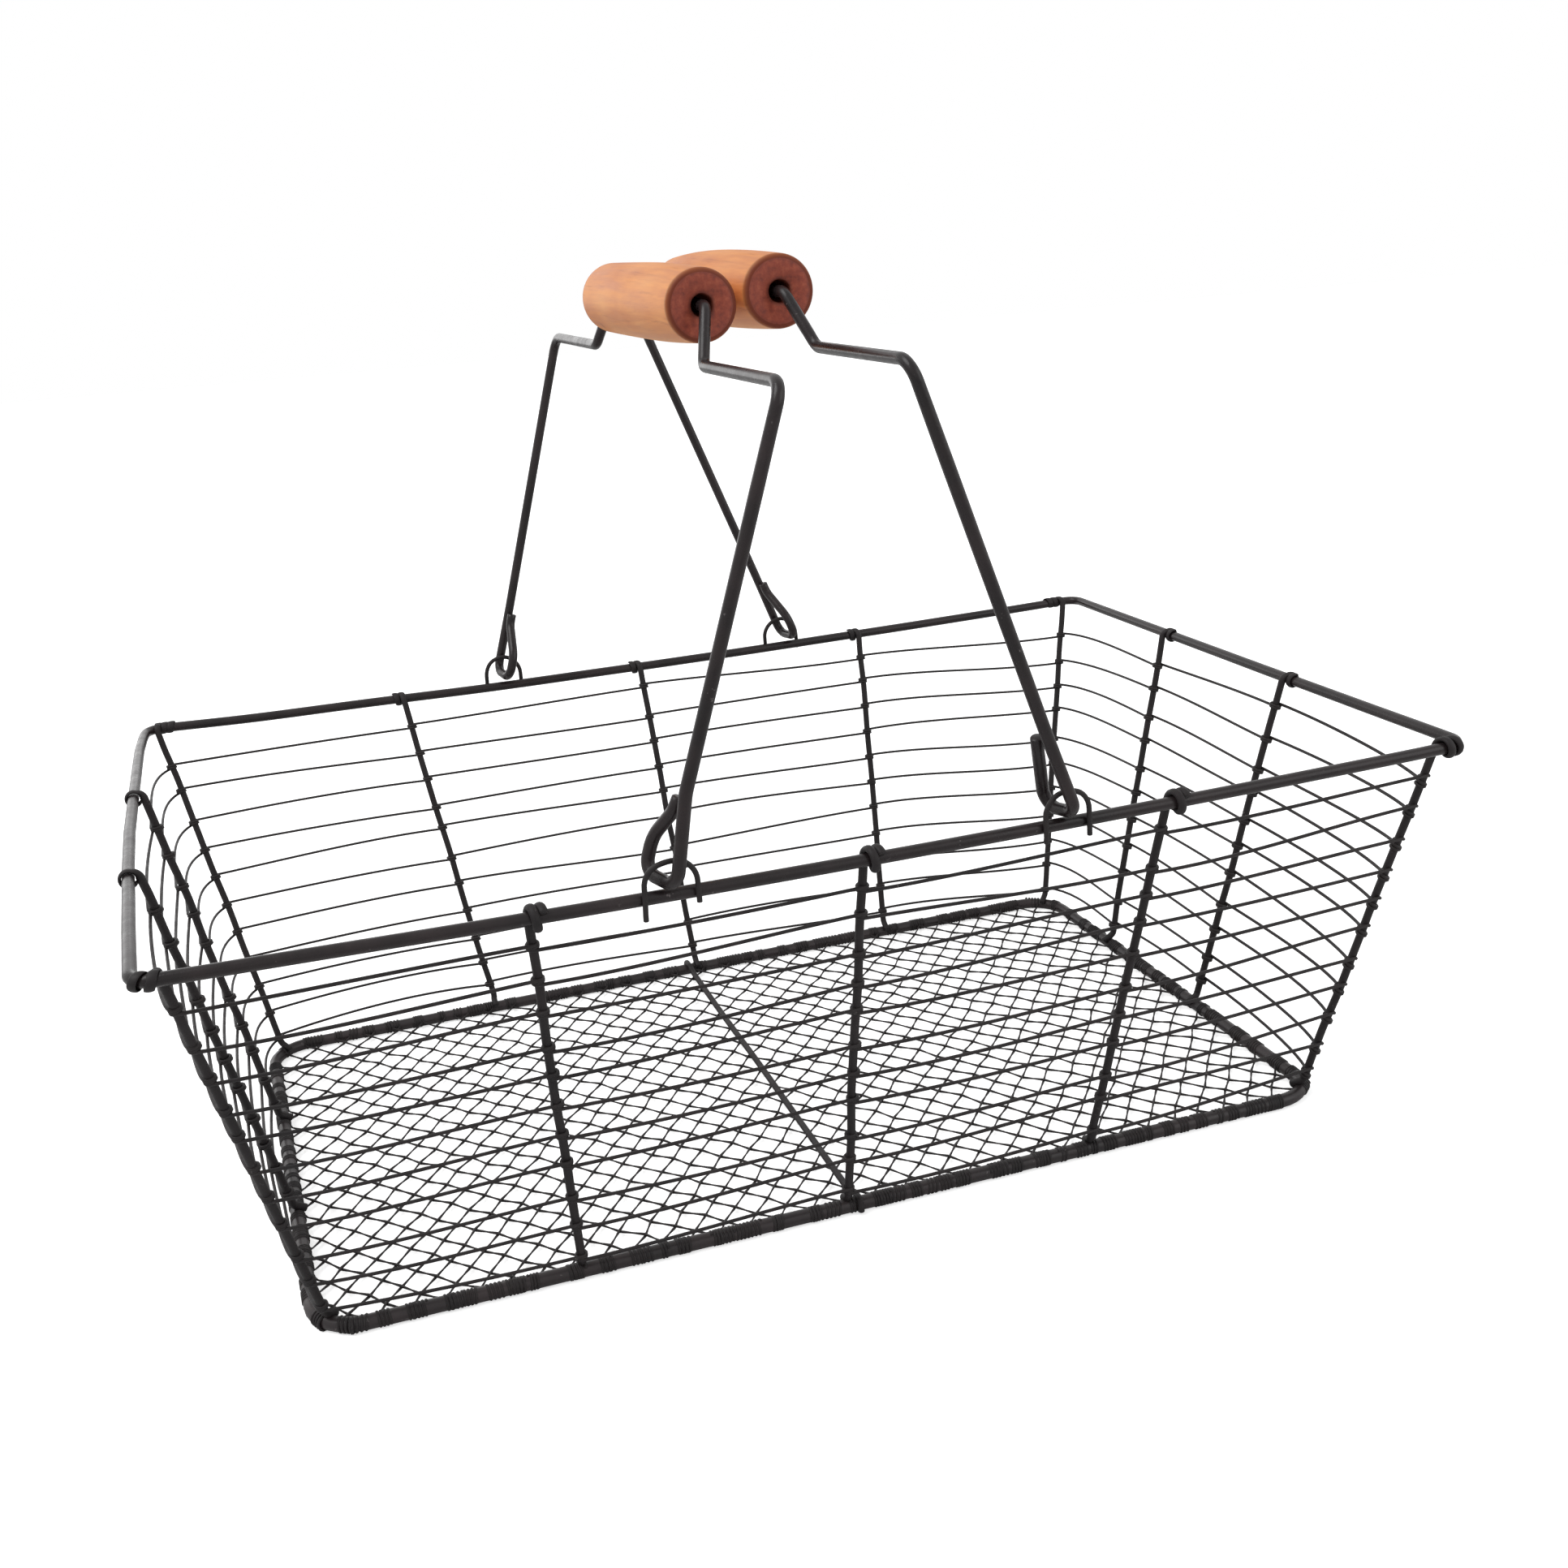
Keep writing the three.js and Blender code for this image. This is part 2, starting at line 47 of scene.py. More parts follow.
# The rim's left end isn't straight: (y, how far it is bent inward). The bend begins on the
# long sides, some way left of the middle, and is complete a little further on.
LEFT_BOW_FROM, LEFT_BOW_OVER = 150, 40
LEFT_BOW = ((-130, 0.8), (-90, 0), (-40, -0.9), (0, -1), (45, 0), (100, 1.4), (118, 2.5), (130, 4))
BASE_LENGTH, BASE_WIDTH, BASE_CORNER = 340, 204, 15
DEPTH = 129

# Wire radii. The painted wire is a little thicker at the front of the basket, and the base
# is thickened by the net's ends that are wound round it.
RIM_R, BASE_R, BAIL_R = 1.75, 1.8, 1.75
RIM_FRONT_R, LEG_FRONT_R = 1.92, 1.92
BOUND_R, BOUND_FRONT_R = 2.1, 2.33
RIB_R = {"front": 1.34, "back": 1.2, "left": 1.32, "right": 1.26}
SIDE_R, SIDE_FRONT_R = 0.48, 0.57
CROSS_R, STAPLE_R, NET_R, NET_END_R = 1.1, 0.8, 0.3, 0.5
# Space left between wires that touch
SEAT = 0.06

# Heights of the base and of the rim's ends. The CAD's base wire has eight sides and lies on
# one of them.
BASE_Z = BASE_R * math.cos(math.pi / 8)
RIM_Z = BASE_Z + DEPTH

# Facets round a wire, the steps in a corner of a frame and the step along its sides
FRAME_FACETS, RIB_FACETS, SMALL_FACETS, SIDE_FACETS, NET_FACETS = 20, 14, 12, 8, 6
CORNER_STEPS, FRAME_STEP = 8, 4.0
# A cut wire end, as shares of the wire's radius: its flat face and how far that stands out
CUT_FACE, CUT_RISE = 0.8, 0.16

# Slow drift of hand-bent wire: its size and the number of points between two drifts
RIM_DRIFT, RIB_DRIFT, CROSS_DRIFT, STAPLE_DRIFT = (0.12, 12), (0.2, 6), (0.2, 8), (0.12, 5)
RIB_DRIFT_FADE = 4

# Ribs: spacing at the rim and at the base, in the long walls and in the end walls
RIB_SPACING, RIB_FOOT_SPACING = 97, 86
END_RIB_SPACING, END_RIB_FOOT_SPACING = 84, 67
# How far the corner ribs stand from the rim's ends, and the step along a rib
CORNER_RIB_INSET, RIB_STEP = 7.5, 3.0
# A rib's toe bends in over the base frame: its beginning and its tip, measured from the
# frame's centre, and the bend between them
TOE_OUT, TOE_UP, TOE_TIP_IN, TOE_TIP_UP, TOE_BEND = 0.9, 4.1, 3.0, 2.1, 3
# How far a wall's row is moved along the rim and along the base, and single ribs at the rim
RIB_SHIFT = {"front": -1, "back": -2, "left": -4, "right": 6.5}
FOOT_SHIFT = {"front": -4.5, "back": 4.5, "left": 3, "right": 11.5}
RIM_NUDGE = {"front_rib_left": -0.4, "front_rib_middle": -0.8, "corner_rib_front_right": -0.8}

# A rib's end on the rim: degrees wound, travel in one turn and how flat it is hammered.
# It is fully flat from a given number of degrees on.
HOOK_STEP, HOOK_FLAT_FROM = 10, 60
FRONT_HOOK = (500, 2.5, 0.8)
BACK_HOOK = (470, 2.4, 0.36)
LEFT_HOOK = (330, 1.4, 0.4)
CORNER_HOOKS = {
    ("front", "left"): (730, 3.6, 0.3), ("front", "right"): (740, 2.9, 0.6),
    ("back", "left"): (900, 2.4, 0.2), ("back", "right"): (900, 2.6, 0.2),
}

# Side wires. Each one is wound round every rib and falls a little in its turns: most of it
# quickly, in the first half, on the steep rib. The curve between two ribs leaves and arrives
# with a handle. Wires swing wide round the corners of the end walls, less at the tight rib.
SIDE_COUNT, FIRST_DROP, SIDE_SPACING = 11, 11.5, 10.95
WRAP_TURNS, WRAP_FALL, WRAP_STEP = 2, 1.5, 0.42
WRAP_SUNK = {"front": 0.4, "back": 0.2, "left": 0, "right": 0.1}
STEEP_RIB, STEEP_FALL, STEEP_SHARE = "corner_rib_front_right", 4.2, 0.85
SIDE_BOW, BOW_SPREAD, SIDE_HANDLE = 1.3, (0.4, 1.4), 40
CORNER_SWING, CORNER_HANDLE = 30, 15
TIGHT_RIB, TIGHTNESS = "corner_rib_front_left", 0.5
SPAN_SAG, SPAN_STEP = 0.4, 5
# A stretch runs along an end wall if its direction has more than this along y
END_WALL_FROM = 0.8

# A side wire's height varies from rib to rib, at random and by the table, up to SIDE_REACH
SIDE_UNEVEN, SIDE_REACH = 0.85, 2.6
SIDE_LOW = {
    "corner_rib_back_left": 2.2, "back_rib_middle": -1.2, "back_rib_right": -1.9,
    "corner_rib_back_right": 2.2, "right_rib_front": -1.2,
}
# The bay that ends at this rib hangs slack, and more so in its lowest wires
SLACK_BAY, SLACK_BOW, SLACK_BOW_LOW, SLACK_LOW_COUNT = "corner_rib_back_left", 2.6, 6.5, 3

# Net. A strand is thick where it crosses another, and weaves over and under
CELL_X, CELL_Y, NET_UNEVEN, NET_WEAVE = 10.6, 13.1, 0.3, 0.3
NET_KNOT, NET_STRAND, NET_EDGE_GAP = 1.6, 0.95, 0.5
# Its rows aren't straight: (x, how far the row is moved along y)
ROW_SWAY = (
    (-180, -18), (-130, -14), (-90, -8), (-45, -2), (0, 0), (40, -2.5), (85, -7), (120, -4), (180, 3),
)
# Its ends are wound on the base frame: degrees, travel in one turn, and how far they sink
# into the frame and under the ground
NET_END_TURN, NET_END_STEP, NET_END_PITCH = (800, 1700), 24, (0.9, 1.4)
NET_END_SUNK, NET_END_UNDER, EDGE_TRIES = 0.62, 0.13, 20

# The wire across the floor: height over the net, distance from the base frame where it
# begins to climb, and its shift from the middle ribs' feet
CROSS_GAP, CROSS_CLIMB, CROSS_SHIFT = 0.5, 9, 3.4
# Its bends, the outer one as a share of its reach over the frame, and the height of its ends
CROSS_BENDS, CROSS_END, CROSS_STEP = (6, 3, 0.9), 1.0, 6

# Staples. The left front one is wider on its left, where the folded eye passes it.
STAPLE_PLANE, STAPLE_HALF_SPAN, STAPLE_TOP, STAPLE_ARCH, STAPLE_STEP = 132.85, 7.0, 11, 20, 1.5
STAPLE_WIDER = {"left_front": 1.1}

# Bails. The left one is a little shorter, and its lean follows from the right one's,
# because the grips lie on each other.
PIVOT_UP, RIGHT_LEAN, BAIL_STEP = 4.45, 19.8, 2.5
SHORTER = {"left": 5, "right": 0}
LEG_PLANE, LEG_BOTTOM, LEG_BEND, LEG_TAPER = 136.7, 27, 20, 30
EYE_TIP_LENGTH, EYE_TIP_BEND = 4, 6
SHOULDER_V, SHOULDER_Y, SHOULDER_INNER = 140.5, 138, 68
SHOULDER_BEND, NECK_BEND, NECK_GAP = 6, 4.5, 3.5

# Grips: height on the bail, length, diameters and the space between the two. The ends have
# a front and a back diameter.
GRIP_V, GRIP_LENGTH, GRIP_MIDDLE, GRIP_GAP = 157.5, 108, 24, 0.3
GRIP_ENDS = {"left": (21.8, 23.4), "right": (21.8, 19.8)}
GRIP_BORE, GRIP_MOUTH, GRIP_MOUTH_DEPTH, GRIP_MOUTH_SLOPE = 4.3, 6.6, 6, 1
GRIP_EDGE, GRIP_MOUTH_EDGE = 1.4, 0.35
GRIP_FACETS, GRIP_RINGS, GRIP_EDGE_RINGS = 72, 40, 6

# Stain that creeps round the grip's edge: where it begins and is complete, measured outward
# from the grip's end, and how far it wavers. Then the knot's place in the grip, and the radii
# between which the knot, the end face's dark edge and the painted shade of its hole fade.
STAIN_CREEP, STAIN_WAVER = (-1.5, 0.9), 2
KNOT_AT, KNOT_FADE = (-7.5, 40, -7.5), (0.6, 2.2)
END_EDGE_FADE, HOLE_SHADE_FADE = (8.6, 10.5), (3.1, 4.5)
# Depth of the small bumps in paint and wood
BUMP_DEPTH = 0.3

# At each end of a bail: the staple's middle, the eye's shift from it, the eye's turn in
# degrees, the sideways bend of the leg and how far the staple's two legs reach down
BAIL_ENDS = {
    "left_front": (-59.4, -3.3, 28, -3.2, (5.0, 2.4)),
    "left_back": (-57.8, -0.1, 12, 0, (2.2, 2.2)),
    "right_front": (59.6, -0.8, 15, 0, (4.2, 3.8)),
    "right_back": (61.6, 2.6, 12, 0, (2.2, 2.2)),
}

# The eyes: width, height of the straight side, bend above it, bend of the two bottom
# corners, height of the bottom and of the tip, the tip's distance from the leg and how far
# it slants
PLAIN_EYE = (13.2, 9, 9, 4.5, 0, 24, 3.8, 0)
EYES = {
    "left_front": (13.2, 11, 12, 4.5, 0.9, 24.2, 6.6, 0.8),
    "left_back": PLAIN_EYE,
    "right_front": (12.3, 5.5, 3, 4.2, 0, 24.6, 5.3, 1.5),
    "right_back": PLAIN_EYE,
}

# Floor, and how much it is lifted to white for the camera, near the basket and far away
FLOOR_REACH, FLOOR_LEVEL, FLOOR_GREY = 4.0, -0.0002, 0.86
FLOOR_GLOW, FLOOR_GLOW_AT = (0.6, 0.95), (0.25, 0.9)

# The world's light on surfaces, and as it is seen directly or in a reflection
WORLD_LIGHT, WORLD_SEEN = 0.55, 1.0

# Soft lamps: place, the point they shine at, size and watts
LAMPS = {
    "key": ((-0.9, -0.2, 1.5), (0, 0, 0.1), (1.0, 1.0), 14),
    "fill": ((1.2, -1.2, 0.9), (0, 0, 0.15), (1.2, 1.2), 6),
    "back": ((-0.7, 3.0, 0.55), (-0.2, 0, 0.13), (2.4, 1.4), 12),
}

# Camera: place, directions and lens, with the focal length and the width in picture points
CAMERA_PLACE = (-0.1650, -0.5692, 0.30246)
CAMERA_RIGHT, CAMERA_AHEAD = (0.9443, -0.3226, -0.0643), (0.2891, 0.9072, -0.3055)
FOCAL_POINTS, PICTURE_POINTS, SENSOR = 2180, 1932, 36


def vec(x, y, z=0.0):
    return np.array([x, y, z], float)


def unit(v):
    return v / np.linalg.norm(v)


def metres(sizes):
    return [size * MM for size in sizes]


# Paths

def bent(corners, step=0.5):
    """Points along straight lines with rounded inner corners, given as (place, bend radius)."""
    path = [np.array(corners[0][0], float)]
    for i in range(1, len(corners) - 1):
        at, bend = np.array(corners[i][0], float), corners[i][1]
        back = unit(np.array(corners[i - 1][0], float) - at)
        ahead = unit(np.array(corners[i + 1][0], float) - at)
        half = math.acos(np.clip(back @ ahead, -1, 1)) / 2
        if not bend or math.pi / 2 - half < 0.02:
            path.append(at)
            continue
        inward = unit(back + ahead)
        centre = at + inward * bend / math.sin(half)
        start = at + back * bend / math.tan(half) - centre
        side = unit(ahead - back * (ahead @ back))
        turn = math.pi - 2 * half
        count = max(4, int(turn * bend / step))
        u = unit(start)
        w = unit(-back - u * (-back @ u))
        for k in range(count + 1):
            a = turn * k / count
            path.append(centre + bend * (math.cos(a) * u + math.sin(a) * w))
    path.append(np.array(corners[-1][0], float))
    return np.array(path)


def spaced(path, step, closed=False):
    """The same path with points about a step apart."""
    ends = np.vstack([path, path[:1]]) if closed else path
    out = []
    for a, b in zip(ends[:-1], ends[1:]):
        count = max(1, int(np.linalg.norm(b - a) / step))
        out += [a + (b - a) * k / count for k in range(count)]
    if not closed:
        out.append(ends[-1])
    return np.array(out)


def wander(count, size, step, closed=False):
    """A slow random drift along a path, for hand-bent wire."""
    knots = max(3, int(count / step))
    values = rng.normal(0, size, (knots + 1, 3))
    if closed:
        values[-1] = values[0]
    t = np.linspace(0, knots, count)
    i = np.minimum(t.astype(int), knots - 1)
    f = (t - i)[:, None]
    f = f * f * (3 - 2 * f)
    return values[i] * (1 - f) + values[i + 1] * f


def rounded_loop(length, width, radius, height_at):
    cx, cy = length / 2 - radius, width / 2 - radius
    loop = []
    for quarter, (sx, sy) in enumerate([(1, 1), (-1, 1), (-1, -1), (1, -1)]):
        for k in range(CORNER_STEPS + 1):
            a = math.pi / 2 * (quarter + k / CORNER_STEPS)
            loop.append(vec(sx * cx + radius * math.cos(a), sy * cy + radius * math.sin(a)))
    loop = spaced(np.array(loop), FRAME_STEP, closed=True)
    loop[:, 2] = [height_at(x) for x in loop[:, 0]]
    return loop


def left_bow(x, y):
    """How far the rim's left end is bent inward at a point of the rim."""
    share = min(1, max(0, (-x - LEFT_BOW_FROM) / LEFT_BOW_OVER))
    return share * np.interp(y, *zip(*LEFT_BOW))


def toward_front(y, front, back):
    """A size that changes evenly from the front of the basket to the back."""
    return front + (back - front) * np.clip(y / RIM_WIDTH + 0.5, 0, 1)


def rim_height(x):
    reach = min(1, abs(x) / (RIM_LENGTH / 2 - RIM_CORNER))
    return RIM_Z - RIM_DIP * (1 - reach * reach)


# Meshes

class Wires:
    """Round wires gathered into one mesh."""

    def __init__(self):
        self.points, self.faces, self.count = [], [], 0

    def add(self, path, radius, sides, closed=False, flat=None):
        """A wire along a path. flat holds a direction and a factor for each point: the
        wire's section is squeezed by the factor along that direction."""
        count = len(path)
        radius = np.broadcast_to(np.asarray(radius, float), (count,))
        if closed:
            tangent = np.roll(path, -1, 0) - np.roll(path, 1, 0)
        else:
            tangent = np.gradient(path, axis=0)
        tangent /= np.linalg.norm(tangent, axis=1)[:, None]
        start = vec(0, 0, 1) if abs(tangent[0][2]) < 0.9 else vec(1, 0, 0)
        side = unit(np.cross(tangent[0], start))
        across = np.empty((count, 3))
        for i in range(count):
            side = unit(side - tangent[i] * (side @ tangent[i]))
            across[i] = side
        other = np.cross(tangent, across)
        if closed:
            last = unit(across[-1] - tangent[0] * (across[-1] @ tangent[0]))
            slip = math.atan2(last @ other[0], last @ across[0])
        else:
            slip = 0
        ring = np.arange(sides) * 2 * math.pi / sides
        angle = ring[None, :] - (slip * np.arange(count) / count)[:, None]
        offset = np.cos(angle)[..., None] * across[:, None] + np.sin(angle)[..., None] * other[:, None]
        if flat is not None:
            ways, factors = flat
            depth = np.einsum("ijk,ik->ij", offset, ways) * (1 - factors)[:, None]
            offset = offset - depth[..., None] * ways[:, None]
        body = path[:, None] + offset * radius[:, None, None]
        self.points.append(body.reshape(-1, 3))
        base = self.count
        rows = np.arange(count if closed else count - 1)
        a = base + rows[:, None] * sides + np.arange(sides)[None]
        b = base + rows[:, None] * sides + (np.arange(sides)[None] + 1) % sides
        step_on = ((rows + 1) % count - rows)[:, None] * sides
        self.faces += np.stack([a, b, b + step_on, a + step_on], -1).reshape(-1, 4).tolist()
        self.count += count * sides
        if not closed:
            for end, sign in ((0, -1), (count - 1, 1)):
                first = base + end * sides
                self.cap(path[end], tangent[end] * sign, offset[end], radius[end], first, sides, sign)

    def cap(self, centre, out, offset, radius, first, sides, sign):
        """A cut end with a slightly rounded edge."""
        self.points.append(centre + offset * radius * CUT_FACE + out * radius * CUT_RISE)
        edge = self.count
        self.count += sides
        for k in range(sides):
            n = (k + 1) % sides
            quad = [first + k, first + n, edge + n, edge + k]
            self.faces.append(quad if sign > 0 else quad[::-1])
        end = list(range(edge, edge + sides))
        self.faces.append(end if sign > 0 else end[::-1])

    def build(self, name, body, material, replaced=()):
        return mesh_object(name, np.vstack(self.points), self.faces, body, [material], replaced)


def mesh_object(name, points, faces, body, materials, replaced=(), origin=(0, 0, 0)):
    """A smooth mesh object, given in millimetres, that rides on a CAD body."""
    mesh = bpy.data.meshes.new(name)
    mesh.from_pydata((np.asarray(points) * MM).tolist(), [], faces)
    mesh.validate()
    mesh.polygons.foreach_set("use_smooth", [True] * len(mesh.polygons))
    for material in materials:
        mesh.materials.append(material)
    obj = bpy.data.objects.new(name, mesh)
    bpy.context.scene.collection.objects.link(obj)
    obj.location = Vector(origin) * MM
    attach(obj, body)
    if replaced:
        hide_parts(*replaced)
    return obj


# Materials

class Nodes:
    """Short ways to add shader nodes to one material."""

    def __init__(self, name):
        self.material = bpy.data.materials.new(name)
        self.material.use_nodes = True
        self.tree = self.material.node_tree
        self.bsdf = self.tree.nodes["Principled BSDF"]
        self.place = self.add("ShaderNodeTexCoord").outputs["Object"]

    def add(self, kind, inputs=(), **settings):
        node = self.tree.nodes.new(kind)
        for key, value in settings.items():
            setattr(node, key, value)
        for key, value in dict(inputs).items():
            if isinstance(value, bpy.types.NodeSocket):
                self.tree.links.new(value, node.inputs[key])
            else:
                node.inputs[key].default_value = value
        return node

    def noise(self, scale, detail=3.0, roughness=0.5, stretch=(1, 1, 1), distortion=0.0):
        place = self.add("ShaderNodeMapping", {"Vector": self.place, "Scale": stretch}).outputs[0]
        node = self.add("ShaderNodeTexNoise", {
            "Vector": place, "Scale": scale, "Detail": detail,
            "Roughness": roughness, "Distortion": distortion,
        })
        return node.outputs["Fac"]

    def ramp(self, factor, *stops):
        node = self.add("ShaderNodeValToRGB", {"Fac": factor})
        elements = node.color_ramp.elements
        while len(elements) < len(stops):
            elements.new(0.5)
        for element, (position, colour) in zip(elements, stops):
            element.position = position
            element.color = (*colour, 1)
        return node.outputs["Color"]

    def level(self, value, low, high, out_low, out_high):
        node = self.add("ShaderNodeMapRange", {
            "Value": value, "From Min": low, "From Max": high, "To Min": out_low, "To Max": out_high,
        })
        return node.outputs["Result"]

    def mix(self, factor, a, b, blend="MIX"):
        node = self.add("ShaderNodeMix", data_type="RGBA", blend_type=blend)
        for key, value in ((0, factor), (6, a), (7, b)):
            if isinstance(value, bpy.types.NodeSocket):
                self.tree.links.new(value, node.inputs[key])
            else:
                node.inputs[key].default_value = value if key == 0 else (*value, 1)
        return node.outputs[2]

    def math(self, operation, a, b=0.0):
        return self.add("ShaderNodeMath", {0: a, 1: b}, operation=operation).outputs[0]

    def set(self, **sockets):
        for key, value in sockets.items():
            key = key.replace("_", " ")
            if isinstance(value, bpy.types.NodeSocket):
                self.tree.links.new(value, self.bsdf.inputs[key])
            else:
                self.bsdf.inputs[key].default_value = value

    def bump(self, height, strength):
        inputs = {"Height": height, "Strength": strength, "Distance": BUMP_DEPTH * MM}
        node = self.add("ShaderNodeBump", inputs)
        self.tree.links.new(node.outputs["Normal"], self.bsdf.inputs["Normal"])


def srgb(code):
    """A colour for the shader from its six-letter screen code."""
    values = [int(code[i:i + 2], 16) / 255 for i in (0, 2, 4)]
    return tuple(v / 12.92 if v <= 0.04045 else ((v + 0.055) / 1.055) ** 2.4 for v in values)


def paint_material(name, dark, brown, worn, rough, head_on):
    """Dark satin paint on wire: cloudy colour, a fine orange peel and a few thin light grey spots, partly
    worn paint and partly painted glint.
    """
    m = Nodes(name)
    cloud = m.noise(45, 4, 0.6)
    colour = m.ramp(cloud, (0.35, srgb(dark)), (0.68, srgb(brown)))
    # Light grey specks: partly worn paint and dust, partly a painted glint
    spots = m.ramp(m.noise(420, 3, 0.7), (0.66, (0, 0, 0)), (0.76, (1, 1, 1)))
    patches = m.ramp(m.noise(26, 2, 0.5), (0.5, (0, 0, 0)), (0.62, (1, 1, 1)))
    wear_and_glint = m.math("MULTIPLY", spots, patches)
    m.set(Base_Color=m.mix(m.math("MULTIPLY", wear_and_glint, 0.55), colour, srgb(worn)))
    m.set(Roughness=m.level(m.noise(180, 3, 0.6), 0.3, 0.7, *rough))
    m.set(Metallic=0.0, IOR=2.2, Specular_Tint=(head_on, head_on, head_on, 1))
    m.bump(m.noise(1500, 2, 0.5), 0.12)
    return m.material


def wood_material():
    """Waxed tan wood with fine grain along the grip and one small knot."""
    m = Nodes("waxed_wood")
    broad = m.noise(26, 3, 0.55, (1, 0.35, 1), 0.6)
    grain = m.noise(170, 4, 0.65, (1, 0.07, 1), 0.25)
    fine = m.noise(620, 3, 0.7, (1, 0.05, 1))
    body = m.ramp(broad, (0.3, srgb("C97D45")), (0.5, srgb("DC955B")), (0.72, srgb("E7AA6F")))
    streak = m.ramp(grain, (0.42, srgb("B9703C")), (0.6, srgb("FFFFFF")))
    colour = m.mix(0.35, body, streak, "MULTIPLY")
    pores = m.ramp(fine, (0.3, srgb("9A5E36")), (0.42, srgb("FFFFFF")))
    colour = m.mix(0.22, colour, pores, "MULTIPLY")
    split = m.add("ShaderNodeSeparateXYZ", {"Vector": m.place})
    reach = m.math("ABSOLUTE", split.outputs["Y"])
    wavering = m.math("ADD", reach, m.math("MULTIPLY", broad, STAIN_WAVER * MM))
    creep = [GRIP_LENGTH / 2 + by for by in STAIN_CREEP]
    edge = m.level(wavering, *metres(creep), 0.0, 1.0)
    colour = m.mix(edge, colour, srgb("6E3322"))
    from_knot = m.add("ShaderNodeVectorMath", {0: m.place, 1: metres(KNOT_AT)}, operation="DISTANCE")
    knot = m.level(from_knot.outputs["Value"], *metres(KNOT_FADE), 1.0, 0.0)
    colour = m.mix(m.math("MULTIPLY", knot, 0.75), colour, srgb("7A3C1E"))
    m.set(Base_Color=colour)
    m.set(Roughness=m.level(grain, 0.3, 0.7, 0.42, 0.6))
    m.set(Specular_IOR_Level=0.16, Coat_Weight=0.03, Coat_Roughness=0.3)
    m.bump(m.math("ADD", m.math("MULTIPLY", grain, 0.5), fine), 0.25)
    return m.material


def stain_material():
    """Red-brown stain on the end grain, darker round the edge, with painted shade in the hole's recess and
    round it.
    """
    m = Nodes("stained_end_grain")
    split = m.add("ShaderNodeSeparateXYZ", {"Vector": m.place})
    flat = m.add("ShaderNodeCombineXYZ", {"X": split.outputs["X"], "Z": split.outputs["Z"]}).outputs[0]
    radius = m.add("ShaderNodeVectorMath", {0: flat}, operation="LENGTH").outputs["Value"]
    rings = m.add("ShaderNodeTexNoise", {"Vector": flat, "Scale": 420, "Detail": 4, "Roughness": 0.65})
    body = m.ramp(rings.outputs["Fac"], (0.3, srgb("6C2819")), (0.52, srgb("8C3B26")), (0.75, srgb("A35139")))
    rim = m.level(radius, *metres(END_EDGE_FADE), 0.0, 0.75)
    # Painted shade: the hole's recess is darkened, and the darkening fades out over the face round it
    hole_shade = m.level(radius, *metres(HOLE_SHADE_FADE), 0.8, 0.0)
    colour = m.mix(rim, body, srgb("45190F"))
    colour = m.mix(hole_shade, colour, srgb("2B120C"))
    m.set(Base_Color=colour)
    m.set(Roughness=m.level(rings.outputs["Fac"], 0.3, 0.7, 0.4, 0.6))
    m.set(Specular_IOR_Level=0.45)
    m.bump(rings.outputs["Fac"], 0.3)
    return m.material


# The third colour of each paint is the grey of its specks: worn paint and painted glint
frame_paint = paint_material("frame_paint", "1A1617", "2A2223", "8C8484", (0.22, 0.36), 0.15)
base_paint = paint_material("base_paint", "242021", "342C2D", "8C8484", (0.3, 0.45), 0.17)
rib_paint = paint_material("rib_paint", "191617", "252021", "6F6A6A", (0.5, 0.7), 0.14)
thin_paint = paint_material("thin_wire_paint", "1B1819", "272222", "7C7676", (0.45, 0.65), 0.14)
wood = wood_material()
stain = stain_material()


# Rim and base

def add_frames():
    rim = rounded_loop(RIM_LENGTH, RIM_WIDTH, RIM_CORNER, rim_height)
    rim[:, 0] += [left_bow(x, y) for x, y, _ in rim]
    rim += wander(len(rim), *RIM_DRIFT, closed=True)
    wires = Wires()
    wires.add(rim, toward_front(rim[:, 1], RIM_FRONT_R, RIM_R), FRAME_FACETS, closed=True)
    wires.build("rim_wire", "basket", frame_paint, ["rim_frame"])
    base = rounded_loop(BASE_LENGTH, BASE_WIDTH, BASE_CORNER, lambda x: BASE_Z)
    thick = toward_front(base[:, 1], BOUND_FRONT_R, BOUND_R)
    base[:, 2] += thick - BASE_R
    wires = Wires()
    wires.add(base, thick, FRAME_FACETS, closed=True)
    wires.build("base_wire", "basket", base_paint, ["base_frame"])


# Ribs

